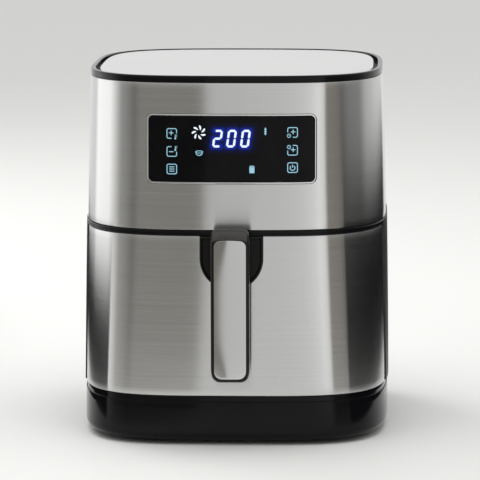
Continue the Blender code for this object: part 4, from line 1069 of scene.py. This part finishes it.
def make_glass():
    edge = [(0.0, 0.0), (0.00035, -0.00003), (0.00062, -0.00018), (0.00078, -0.00045),
            (0.0008, -0.0012), (0.0008, -0.0022)]
    inner = 0.0008
    columns = round_columns(GLASS_W - 2 * inner, GLASS_H - 2 * inner, GLASS_R - inner, GLASS_Z,
                            inner=230, corner=8)
    bm = slab_bm(columns, 96, [(o, lift + GLASS_LIFT) for o, lift in edge], on_front, 0.0023)
    glass = finished("display_front_glass", bm, "housing", "display_glass", ["display_lens"],
                     uv=flat_front)
    strokes = digit_strokes()
    halo = glass.data.attributes.new("halo", "FLOAT", "POINT")
    for i, vertex in enumerate(glass.data.vertices):
        place = Vector((vertex.co.x / MM, vertex.co.z / MM))
        near = abs(place.x) < 26 and abs(place.y - DIGITS_AT[1]) < 14
        gap = min(distance_to(place, a, b) for a, b in strokes) if near else 20.0
        glow = 1 / (1 + (max(0.0, gap - 0.4) / 1.9) ** 3.2)
        halo.data[i].value = glow
    return glass


def make_bezel():
    """The thin bright frame, traced round the glass."""
    half_w, half_h = GLASS_W / 2 + GAP, GLASS_H / 2 + GAP
    corner = GLASS_R + GAP
    path = []
    for sx, sz, start in ((1, 1, 0), (-1, 1, 90), (-1, -1, 180), (1, -1, 270)):
        for k in range(11):
            angle = math.radians(start + 9 * k)
            path.append((sx * (half_w - corner), GLASS_Z + sz * (half_h - corner),
                         math.cos(angle), math.sin(angle)))
    full = []
    for i, (cx, cz, nx, nz) in enumerate(path):
        full.append((cx + nx * corner, cz + nz * corner, nx, nz))
        cx2, cz2 = path[(i + 1) % len(path)][:2]
        if (cx, cz) != (cx2, cz2):
            run = Vector((cx2 - cx, cz2 - cz))
            steps = max(2, int(run.length / 0.003))
            for k in range(1, steps):
                full.append((cx + nx * corner + run.x * k / steps,
                             cz + nz * corner + run.y * k / steps, nx, nz))
    width = 0.0014
    profile = rounded([(0.0, -0.0020, 0.0), (0.0, 0.0005, 0.00025), (width, 0.0005, 0.00070),
                       (width, -0.0020, 0.0)], 4)
    rows = [[on_front(x + nx * a, z + nz * a, b) for a, b in profile] for x, z, nx, nz in full]
    finished("display_bezel", loft_bm(rows, closed=True), "housing",
             "bright_trim", ["display_frame"], uv=flat_front)


# ---- drawer ------------------------------------------------------------------------------
def make_drawer_skin():
    low, high = box_of("drawer_skin")
    bm = swept_bm(sheet_profile(low[2], high[2]), DRAWER_SPLIT_Y, count=300)
    finished("drawer_steel_skin", bm, "drawer", "body_steel", ["drawer_skin"])


def make_drawer_band():
    """The gloss band over the drawer front, with its lid plate behind it."""
    low, high = box_of("drawer_trim")
    wing = box_of("pan")[1][0] + 0.0055
    front = box_of("drawer_back_panel")[0][1]
    bm = bmesh.new()
    side, count = turn_at(SEAM_Z, DRAWER_SPLIT_Y), 260
    outer = [side - (math.pi + 2 * side) * i / (count - 1) for i in range(count)]
    soft = 0.0009
    rounds = arc((soft, soft), soft, 270, 180, 6)
    levels = [(-PROUD + inset, low[2] + rise) for inset, rise in rounds]
    middle = (low[2] + high[2]) / 2
    levels += [(-PROUD, middle - 0.0006), (-PROUD + 0.0001, middle - 0.0004),
               (-PROUD + 0.0005, middle - 0.0002), (-PROUD + 0.0005, middle + 0.0002),
               (-PROUD + 0.0001, middle + 0.0004), (-PROUD, middle + 0.0006)]
    levels += [(-PROUD + inset, high[2] - rise) for inset, rise in reversed(rounds)]
    rows = []
    for inset, z in levels:
        row = [body_point(SEAM_Z, turn, inset)[:2] + (z,) for turn in outer]
        split = row[0][1]
        row += [(-wing, split, z), (-wing, front, z), (wing, front, z), (wing, split, z)]
        rows.append(row)
    loft_bm(rows, bm=bm)
    finished("drawer_gloss_band", bm, "drawer", "gloss_black", ["drawer_trim"])


SHIELD_W, SHIELD_H, SHIELD_STRAIGHT = 0.0568, 0.0480, 0.0199


def shield_columns(inset, top, count=44):
    half = SHIELD_W / 2 - inset
    drop = SHIELD_H - SHIELD_STRAIGHT - inset
    columns = []
    for k in range(count + 1):
        angle = math.pi * k / count
        x = -half * math.cos(angle)
        columns.append((x, top - SHIELD_STRAIGHT - drop * math.sin(angle), top - inset))
    return columns


def make_escutcheon():
    high = box_of("handle_escutcheon")[1][2]
    rim = 0.0030
    edge = [(0.0, 0.0009), (0.0004, 0.0010), (0.0007, 0.0014), (0.0008, 0.0020),
            (0.0010, 0.0025), (0.0014, 0.0028), (rim - 0.0010, 0.0028), (rim - 0.0004, 0.0025),
            (rim - 0.0001, 0.0019), (rim, 0.0012), (rim, GAP)]
    bm = slab_bm(shield_columns(rim, high), 16, edge, on_front, -GAP)
    shield = object_from("handle_shield", bm)
    dressed(shield, "drawer", "shield_black", ["handle_escutcheon"], uv=flat_front)


HANDLE_LOW, HANDLE_HIGH = box_of("handle_grip")
HANDLE_FRONT = HANDLE_LOW[1]
HANDLE_W = HANDLE_HIGH[0] - HANDLE_LOW[0]
GRIP_T, NECK_H, CROWN_R = 0.0130, 0.0360, 0.0090
NECK_TOP = SEAM_Z - 0.0015
CROWN_AT = (HANDLE_FRONT + CROWN_R, HANDLE_HIGH[2] - CROWN_R)
INSERT_LOW, INSERT_HIGH = box_of("handle_insert")
INSERT_MIDDLE = (INSERT_LOW[2] + INSERT_HIGH[2]) / 2
INSERT_W, INSERT_H = INSERT_HIGH[0] - INSERT_LOW[0], INSERT_HIGH[2] - INSERT_LOW[2]


def grip_outline():
    """Side view of the grip in (y, z): a neck, a rounded crown and a straight bar."""
    front, back = HANDLE_FRONT, HANDLE_FRONT + GRIP_T
    low, top = HANDLE_LOW[2], HANDLE_HIGH[2]
    seat = HANDLE_HIGH[1]
    neck_low = NECK_TOP - NECK_H
    points = [(seat, neck_low), (seat, NECK_TOP - 0.0035), (seat - 0.001, NECK_TOP - 0.0010),
              (seat - 0.0035, NECK_TOP), (front + 2.6 * CROWN_R, NECK_TOP)]
    points += arc(CROWN_AT, CROWN_R, 42, 180, 16)
    points += [(front, top - CROWN_R - 0.010), (front, top - CROWN_R - 0.022),
               (front, (low + top) / 2), (front, low + 0.045), (front, low + 0.026)]
    points += arc((front + 0.005, low + 0.005), 0.005, 180, 270, 8)
    points += arc((back - 0.005, low + 0.005), 0.005, 270, 360, 8)
    points += [(back, low + 0.026), (back, low + 0.045)]
    points += arc((back + 0.008, neck_low - 0.008), 0.008, 180, 90, 10)
    return points


def shrunk(points, amount):
    """A closed outline moved inwards along its mitred corners."""
    flat = [Vector(point) for point in points]
    area = sum(a.x * b.y - b.x * a.y for a, b in zip(flat, flat[1:] + flat[:1]))
    way = 1.0 if area > 0 else -1.0
    out = []
    for i, here in enumerate(flat):
        one = (here - flat[i - 1]).normalized()
        two = (flat[(i + 1) % len(flat)] - here).normalized()
        n1, n2 = Vector((-one.y, one.x)), Vector((-two.y, two.x))
        mitre = (n1 + n2) / max(0.6, 1 + n1.dot(n2))
        out.append(here + mitre * amount * way)
    return out


def corner_rise(x, half, radius):
    """How far a rounded corner has lifted off the straight end at x."""
    over = max(0.0, abs(x) - (half - radius))
    return radius - math.sqrt(max(0.0, radius ** 2 - over ** 2))


def crown_sink(x, z):
    """How far the grip's crown falls away towards the sides."""
    half = HANDLE_W / 2
    near_top = max(0.0, min(1.0, (z - HANDLE_HIGH[2] + 0.016) / 0.008))
    return near_top * (corner_rise(x, half, 0.0045) + 0.0013 * (x / half) ** 2)


def grip_row(x, inset):
    """The grip's side view at x, with its ends drawn in where its front corners are round."""
    rise = corner_rise(x, HANDLE_W / 2, 0.0084)
    row = []
    for point in shrunk(grip_outline(), inset):
        near_low = max(0.0, min(1.0, (HANDLE_LOW[2] + 0.042 - point.y) / 0.030))
        row.append((x, point.x, point.y + rise * near_low - crown_sink(x, point.y)))
    return row


def make_grip():
    half, soft = HANDLE_W / 2, 0.0022
    places = arc((soft - half, soft), soft, 180, 270, 7)
    places += [(-half + step, 0.0) for step in (0.0035, 0.0050, 0.0065, 0.0085, 0.0115)]
    places += [(0.0, 0.0)] + [(-x, inset) for x, inset in reversed(places)]
    grip = object_from("drawer_grip", loft_bm([grip_row(x, inset) for x, inset in places]))
    columns = strip_columns(INSERT_W + 0.0004, INSERT_H + 0.0004)
    around = [(x, high) for x, _, high in columns] + [(x, low) for x, low, _ in columns[::-1]]
    cut(grip, prism("pocket", around, HANDLE_FRONT - 0.01, HANDLE_FRONT + 0.0014))
    dressed(grip, "drawer", "grip_black", ["handle_grip"], sharp=30, uv=flat_front)


def strip_columns(width, height):
    """Columns of the steel strip: an arched top and rounder lower corners."""
    half = width / 2
    columns = []
    for x, _, _ in round_columns(width, height, 0.0060, INSERT_MIDDLE, 26, 9):
        arch = corner_rise(x, half, 0.0046) + 0.0009 * (x / half) ** 2
        columns.append((x, INSERT_MIDDLE - height / 2 + corner_rise(x, half, 0.0062),
                        INSERT_MIDDLE + height / 2 - arch))
    return columns


def make_grip_insert():
    """The steel strip in the grip, crowned more at its ends than in the middle."""
    def surface(x, z, lift):
        end = abs(z - INSERT_MIDDLE) / (INSERT_H / 2)
        crown = 0.00022 + 0.00055 * end ** 4
        return x, HANDLE_FRONT + 0.00005 + crown * (2 * x / INSERT_W) ** 2 - lift, z

    inner = 0.0006
    edge = [(0.0, 0.0), (0.00025, -0.00003), (0.00042, -0.00012), (0.00055, -0.0003),
            (inner, -0.0008)]
    bm = slab_bm(strip_columns(INSERT_W - 2 * inner, INSERT_H - 2 * inner), 60, edge, surface,
                 0.0010)
    finished("grip_steel_strip", bm, "drawer", "insert_steel",
             ["handle_insert"], uv=flat_front)


def make_crown_shell():
    """A thin shell over the grip's crown, in a plastic lighter and rougher than the grip."""
    half, thick = 0.0152, 0.0003
    outline = arc(CROWN_AT, CROWN_R + thick, 78, 178, 14)
    outline += arc(CROWN_AT, CROWN_R - 2 * thick, 178, 78, 14)
    rows = [[(x, y, z - crown_sink(x, z)) for y, z in outline]
            for x in [half * (k / 10 - 1) for k in range(21)]]
    finished("thumb_pad", loft_bm(rows), "drawer", "thumb_pad", sharp=30, uv=flat_front)


def make_grip_ribs():
    """Small ribs on the shell over the grip's crown."""
    count, pitch = 6, 0.0024
    path = [(0.0, *arc(CROWN_AT, CROWN_R + 0.0001, degrees, degrees, 1)[0])
            for degrees in (176, 171, 165, 159, 153)]
    shape = object_from("rib_shape", tube_bm(path, 0.00055, 8))
    ribs = repeated("thumb_ribs", "row", shape, FINISH["thumb_pad"], Count=count,
                    Start=(-(count - 1) / 2 * pitch - 0.002, 0.0, 0.0), Step=(pitch, 0.0, 0.0))
    dressed(ribs, "drawer", "thumb_pad", uv=flat_front)


# ---- pan and crisper ---------------------------------------------------------------------
PAN_LOW, PAN_HIGH = box_of("pan")
PAN_LIP, PAN_DRAFT, PAN_WALL, PAN_SQUARE = 0.0050, 0.0040, 0.0015, 4.0
PAN_Y = (PAN_LOW[1] + PAN_HIGH[1]) / 2
PAN_HALF_W = PAN_HIGH[0] - PAN_LIP
PAN_HALF_D = (PAN_HIGH[1] - PAN_LOW[1]) / 2 - PAN_LIP


def pan_point(z, turn, inset):
    x, y = oval(PAN_HALF_W, PAN_HALF_D, PAN_SQUARE, turn, inset)
    return x, PAN_Y + y, z


def make_pan():
    low, top = PAN_LOW[2], PAN_HIGH[2]
    w, bend = PAN_WALL, 0.0090
    levels = [(0.0300, low + 0.0006), (PAN_DRAFT + bend + 0.004, low + 0.0006)]
    levels += arc((PAN_DRAFT + bend, low + bend), bend, 270, 180, 8)
    outer = levels[-1]
    rim = top - w
    for k in range(1, 8):
        share = k / 8
        levels.append((outer[0] * (1 - share), outer[1] + (rim - 0.002 - outer[1]) * share))
    levels += [(0.0, rim - 0.0016), (-0.0004, rim - 0.0006), (-0.0014, rim),
               (-PAN_LIP + 0.0007, rim)]
    levels += arc((w / 2 - PAN_LIP, rim + w / 2), w / 2, 270, 90, 6)[1:]
    levels += [(-0.0010, top), (w - 0.0006, top - 0.0001), (w - 0.0001, top - 0.0008)]
    inner_low, inner_top = low + w, top - 0.002
    for k in range(1, 8):
        share = k / 8
        levels.append((w + PAN_DRAFT * share,
                       inner_top + (inner_low + bend - inner_top) * share))
    levels += arc((PAN_DRAFT + w + bend, inner_low + bend), bend, 180, 270, 8)
    levels += [(0.0220, inner_low), (0.0240, inner_low + 0.0006), (0.0262, inner_low + 0.0008),
               (0.0284, inner_low + 0.0006), (0.0304, inner_low)]
    bm = stacked_bm(levels, pan_point, 220)
    finished("frying_pan", bm, "drawer", "nonstick", ["pan"])


HOLES, HOLES_SPAN, HOLE_R = 13, 0.1680, 0.0028


def make_crisper():
    low, high = box_of("crisper_plate")
    half_w, half_d = high[0], (high[1] - low[1]) / 2
    y_mid = (low[1] + high[1]) / 2

    def point(z, turn, inset):
        x, y = oval(half_w, half_d, PAN_SQUARE, turn, inset)
        return x, y_mid + y, z

    bottom, top = low[2], high[2]
    levels = [(0.0040, bottom), (0.0018, bottom + 0.0003), (0.0006, bottom + 0.0014),
              (0.0, bottom + 0.0030), (0.0, bottom + 0.0052), (0.0002, bottom + 0.0056),
              (0.0007, bottom + 0.0058), (0.0012, bottom + 0.0056), (0.0014, bottom + 0.0052),
              (0.0015, bottom + 0.0034), (0.0022, bottom + 0.0020), (0.0036, top),
              (0.0060, top)]
    plate = object_from("crisper_tray", stacked_bm(levels, point, 200))
    hole = object_from("hole_shape", peg_bm(HOLE_R, -0.01, 0.01, ORIGIN))
    holes = repeated("holes", "grid", hole, FINISH["nonstick"], Across=HOLES, Along=HOLES,
                     Width=HOLES_SPAN, Length=HOLES_SPAN, Centre=(0.0, y_mid, (bottom + top) / 2))
    cut(plate, holes)
    dressed(plate, "crisper", "nonstick", ["crisper_plate"], uv=flat_top)


def make_bumpers():
    names = ["plate_foot_" + corner for corner in FOUR_CORNERS]
    first, last = box_of(names[0])
    low, high = first[2], last[2]
    radius = (last[0] - first[0]) / 2
    profile = [(0.0, low), (radius - 0.0014, low), (radius - 0.0004, low + 0.0006),
               (radius, low + 0.0016), (radius, low + 0.0050), (radius - 0.0012, low + 0.0058),
               (radius - 0.0012, low + 0.0070), (radius, low + 0.0078), (radius, high - 0.0010),
               (radius - 0.0010, high), (0.0, high)]
    shape = object_from("bumper_shape", turned_bm(profile, ORIGIN, steps=32))
    bumpers = repeated("silicone_bumpers", "grid", shape, FINISH["silicone"],
                       **spread_like(names))
    dressed(bumpers, "crisper", "silicone", names, uv=flat_top)


# ---- chamber -----------------------------------------------------------------------------
RINGS, RING_STEPS, SPOKES = 8, 72, 6


def make_guard():
    """Wire guard under the heater: round rings on radial spokes, in a rolled rim."""
    low, high = box_of("heater_guard")
    outer = high[0]
    z = (low[2] + high[2]) / 2
    wire = (high[2] - low[2]) / 2 * 1.4
    bm = bmesh.new()
    for k in range(RINGS):
        radius = 0.0120 + (outer - 0.0140) * k / (RINGS - 1)
        ring = [(x, y, z) for x, y in arc((0.0, FAN_Y), radius, 0, 360, RING_STEPS)[:-1]]
        tube_bm(ring, wire if k < RINGS - 1 else wire * 1.5, 8, closed=True, bm=bm)
    finished("guard_rings", bm, "housing", "bright_trim", ["heater_guard"], uv=flat_top)
    spoke = object_from("spoke_shape", tube_bm([(0.0100 + (outer - 0.0120) * k / 6, 0.0, z - wire)
                                                for k in range(7)], wire * 0.9, 8))
    spokes = repeated("guard_spokes", "wheel", spoke, FINISH["bright_trim"], Count=SPOKES,
                      Centre=(0.0, FAN_Y, 0.0))
    dressed(spokes, "housing", "bright_trim", uv=flat_top)


def make_pan_screws():
    """Pan-head screws with a driver recess, facing the rear."""
    height = 0.0022
    for side in ("left", "right"):
        low, high = box_of(f"pan_screw_{side}")
        radius, head = (high[0] - low[0]) / 2, high[1] - height
        profile = [(0.0, 0.0002), (radius * 0.30, 0.0002), (radius * 0.34, height * -0.98),
                   (radius * 0.62, height * -0.92), (radius * 0.86, height * -0.70),
                   (radius * 0.98, height * -0.35), (radius, 0.0), (radius * 0.5, 0.0),
                   (radius * 0.5, head - low[1]), (0.0, head - low[1])]
        x, _, z = middle_of(f"pan_screw_{side}")
        finished(f"pan_front_screw_{side}", turned_bm(profile, (x, head, z), "Y", 24), "drawer",
                 "bright_trim", [f"pan_screw_{side}"], uv=flat_front)


# ---- carried-over nodes ------------------------------------------------------------------
NODES_OF_SLOT = {
    "matte_black": ("base_deck upper_body mid_deck interlock_switch cooling_fan drawer_frame "
                    "drawer_back_panel"),
    "light_plastic": "light_guide thermal_fuse",
    "circuit_board": "control_board power_board",
    "aluminised_steel": ("chamber_liner runner_left runner_right heater_reflector motor_bridge "
                         "motor_cap exhaust_duct hot_air_fan pan_bracket"),
    "bright_trim": ("thermistor_probe heater_clip_front heater_clip_rear motor_shaft "
                    "handle_screw_upper handle_screw_lower"),
    "heater_sheath": "heating_element",
    "lamination": "motor_stator transformer motor_rotor",
    "bearing_bronze": "bearing_lower bearing_upper",
}


def dress_cad_nodes():
    for slot, names in NODES_OF_SLOT.items():
        for name in names.split():
            node = frame["nodes"][name]
            node.data.materials.clear()
            node.data.materials.append(FINISH[slot])


# ---- stage -------------------------------------------------------------------------------
FLOOR_COLOUR = (0.80, 0.80, 0.785)
NEAR_FLOOR = 0.45


def make_floor():
    bm = bmesh.new()
    bmesh.ops.create_grid(bm, x_segments=2, y_segments=2, size=30.0)
    floor = object_from("floor", bm)
    material, tree, shader, place = new_finish("pale_floor", FLOOR_COLOUR, 0.6)
    patches = noise(tree, place, 2.5, 5.0, 0.6)
    tint(tree, shader, patches, shaded(FLOOR_COLOUR, 0.985), shaded(FLOOR_COLOUR))
    clear = add(tree, "ShaderNodeBsdfTransparent")
    glossy = add(tree, "ShaderNodeLightPath").outputs["Is Glossy Ray"]
    far = add(tree, "ShaderNodeVectorMath", {0: place}, operation="LENGTH").outputs["Value"]
    beyond = ranged(tree, far, NEAR_FLOOR - 0.15, NEAR_FLOOR + 0.15, 0.0, 1.0)
    mixed_shader(tree, sum_of(tree, glossy, beyond, "MULTIPLY"), shader, clear,
                 tree.nodes["Material Output"].inputs["Surface"])
    floor.data.materials.append(material)


# studio surroundings by compass bearing in degrees from the front, with their brightness
SURROUNDINGS = [
    (-180, (0.80, 0.80, 0.80)), (-142, (0.90, 0.90, 0.90)), (-134, (1.50, 1.50, 1.50)),
    (-102, (1.50, 1.50, 1.49)), (-90, (0.95, 0.95, 0.94)), (-78, (0.42, 0.415, 0.40)),
    (-64, (0.27, 0.26, 0.24)), (-56, (0.17, 0.165, 0.15)), (-47, (0.26, 0.25, 0.225)),
    (-5.6, (0.24, 0.23, 0.205)), (-4.6, (0.72, 0.72, 0.71)), (6, (0.76, 0.76, 0.76)),
    (20, (0.85, 0.85, 0.85)), (31, (1.00, 1.00, 1.00)), (36, (1.15, 1.15, 1.15)),
    (43, (0.98, 0.98, 0.97)), (46, (0.26, 0.24, 0.20)), (64, (0.22, 0.20, 0.175)),
    (69, (0.15, 0.15, 0.15)), (82, (0.26, 0.26, 0.25)), (106, (0.32, 0.32, 0.31)),
    (121, (0.64, 0.64, 0.63)), (145, (0.80, 0.80, 0.79)), (180, (0.80, 0.80, 0.80)),
]
BRIGHTEST = 1.5
BACKDROP = (0.90, 0.90, 0.89)
PLAIN_ABOVE = (0.20, 0.36)  # the surroundings fade into a plain sky between these heights
PLAIN_SKY = (0.52, 0.52, 0.515, 1.0)  # as a share of the brightest


def make_world():
    world = bpy.data.worlds.new("studio")
    bpy.context.scene.world = world
    world.use_nodes = True
    tree = world.node_tree
    tree.nodes.clear()
    way = add(tree, "ShaderNodeTexCoord").outputs["Generated"]
    parts = add(tree, "ShaderNodeSeparateXYZ", {0: way}).outputs
    front = sum_of(tree, parts["Y"], -1.0, "MULTIPLY")
    bearing = sum_of(tree, parts["X"], front, "ARCTAN2")
    ramp = add(tree, "ShaderNodeValToRGB",
               {0: ranged(tree, bearing, -math.pi, math.pi, 0.0, 1.0)})
    stops = ramp.color_ramp.elements
    for i, (degrees, colour) in enumerate(SURROUNDINGS):
        place = (degrees + 180) / 360
        stop = stops[i] if i < 2 else stops.new(place)
        stop.position = place
        stop.color = shaded(colour, 1 / BRIGHTEST)
    high = ranged(tree, parts["Z"], *PLAIN_ABOVE, 0.0, 1.0)
    around = mixed(tree, high, ramp.outputs["Color"], PLAIN_SKY)
    light = add(tree, "ShaderNodeBackground", {"Color": around, "Strength": BRIGHTEST})
    plain = add(tree, "ShaderNodeBackground", {"Color": shaded(BACKDROP), "Strength": 1.0})
    seen = add(tree, "ShaderNodeLightPath").outputs["Is Camera Ray"]
    out = add(tree, "ShaderNodeOutputWorld")
    mixed_shader(tree, seen, light, plain, out.inputs["Surface"])


def dark_card(name, x, near, far, clear_z, dark_z):
    """A dark upright card that only reflections see, fading out towards its top."""
    bm = bmesh.new()
    corners = [(x, near, 0.0), (x, far, 0.0), (x, far, clear_z + 0.01), (x, near, clear_z + 0.01)]
    bm.faces.new([bm.verts.new(corner) for corner in corners])
    card = object_from(name, bm)
    material = bpy.data.materials.new(name)
    material.use_nodes = True
    tree = material.node_tree
    tree.nodes.clear()
    place = add(tree, "ShaderNodeTexCoord").outputs["Object"]
    height = add(tree, "ShaderNodeSeparateXYZ", {0: place}).outputs["Z"]
    fade = add(tree, "ShaderNodeMapRange", {"Value": height, "From Min": dark_z,
                                            "From Max": clear_z},
               interpolation_type="SMOOTHSTEP").outputs[0]
    dark = add(tree, "ShaderNodeEmission", {"Color": (0.006, 0.006, 0.006, 1.0)})
    clear = add(tree, "ShaderNodeBsdfTransparent")
    out = add(tree, "ShaderNodeOutputMaterial")
    mixed_shader(tree, fade, dark, clear, out.inputs["Surface"])
    card.data.materials.append(material)
    card.visible_camera = card.visible_diffuse = card.visible_shadow = False


CARD_X, CARD_BACK = 0.30, 0.700


def make_cards():
    """Cards beside the body; the right one is taller and comes further forward."""
    dark_card("dark_card_right", CARD_X, -0.196, CARD_BACK, 0.285, 0.165)
    dark_card("dark_card_left", -CARD_X, -0.108, CARD_BACK, 0.180, 0.085)


def area_lamp(name, place, target, size, power):
    lamp = bpy.data.lights.new(name, "AREA")
    lamp.shape = "SQUARE"
    lamp.size = size
    lamp.energy = power
    item = placed(bpy.data.objects.new(name, lamp))
    item.visible_glossy = False
    item.location = place
    item.rotation_mode = "QUATERNION"
    item.rotation_quaternion = (Vector(target) - Vector(place)).to_track_quat("-Z", "Y")


def make_lights():
    area_lamp("overhead", (0.0, -0.2, 2.2), (0.0, 0.0, 0.0), 1.8, 22.0)
    area_lamp("window_side", (-1.3, 1.5, 1.5), (0.0, 0.0, 0.1), 1.0, 16.0)


LENS_MM, SENSOR_MM = 269.24, 36.0
CAMERA_REACH, CAMERA_SIDE, CAMERA_HEIGHT = 3.3165, 0.04148, 0.61407
CAMERA_TURN, CAMERA_PITCH, CAMERA_ROLL = 0.04113, 0.13514, -0.00221


def make_camera():
    data = bpy.data.cameras.new("camera")
    data.lens, data.sensor_width = LENS_MM, SENSOR_MM
    data.clip_start, data.clip_end = 0.1, 100.0
    camera = placed(bpy.data.objects.new("camera", data))
    side, turned, pitch, roll = CAMERA_SIDE, CAMERA_TURN, CAMERA_PITCH, CAMERA_ROLL
    ahead = Vector((-math.sin(turned) * math.cos(pitch), math.cos(turned) * math.cos(pitch),
                    -math.sin(pitch)))
    right = Vector((math.cos(turned), math.sin(turned), 0.0))
    up = right.cross(ahead)
    right, up = (right * math.cos(roll) + up * math.sin(roll),
                 up * math.cos(roll) - right * math.sin(roll))
    turn = Matrix((right, up, -ahead)).transposed().to_4x4()
    place = Vector((CAMERA_REACH * math.sin(side), AXIS_Y - CAMERA_REACH * math.cos(side),
                    CAMERA_HEIGHT))
    camera.matrix_world = Matrix.Translation(place) @ turn
    bpy.context.scene.camera = camera


# ---- everything together -----------------------------------------------------------------
make_camera()
make_upper_skin()
make_rear_housing()
make_lower_shell()
make_top_rim()
make_lid()
make_base()
make_feet()
make_gland()
make_glass()
make_bezel()
make_digits()
make_keys()
make_status_marks()
make_drawer_skin()
make_drawer_band()
make_escutcheon()
make_grip()
make_grip_insert()
make_crown_shell()
make_grip_ribs()
make_pan()
make_crisper()
make_bumpers()
make_guard()
make_pan_screws()
dress_cad_nodes()
make_floor()
make_world()
make_cards()
make_lights()
bpy.context.scene.view_settings.view_transform = "Standard"
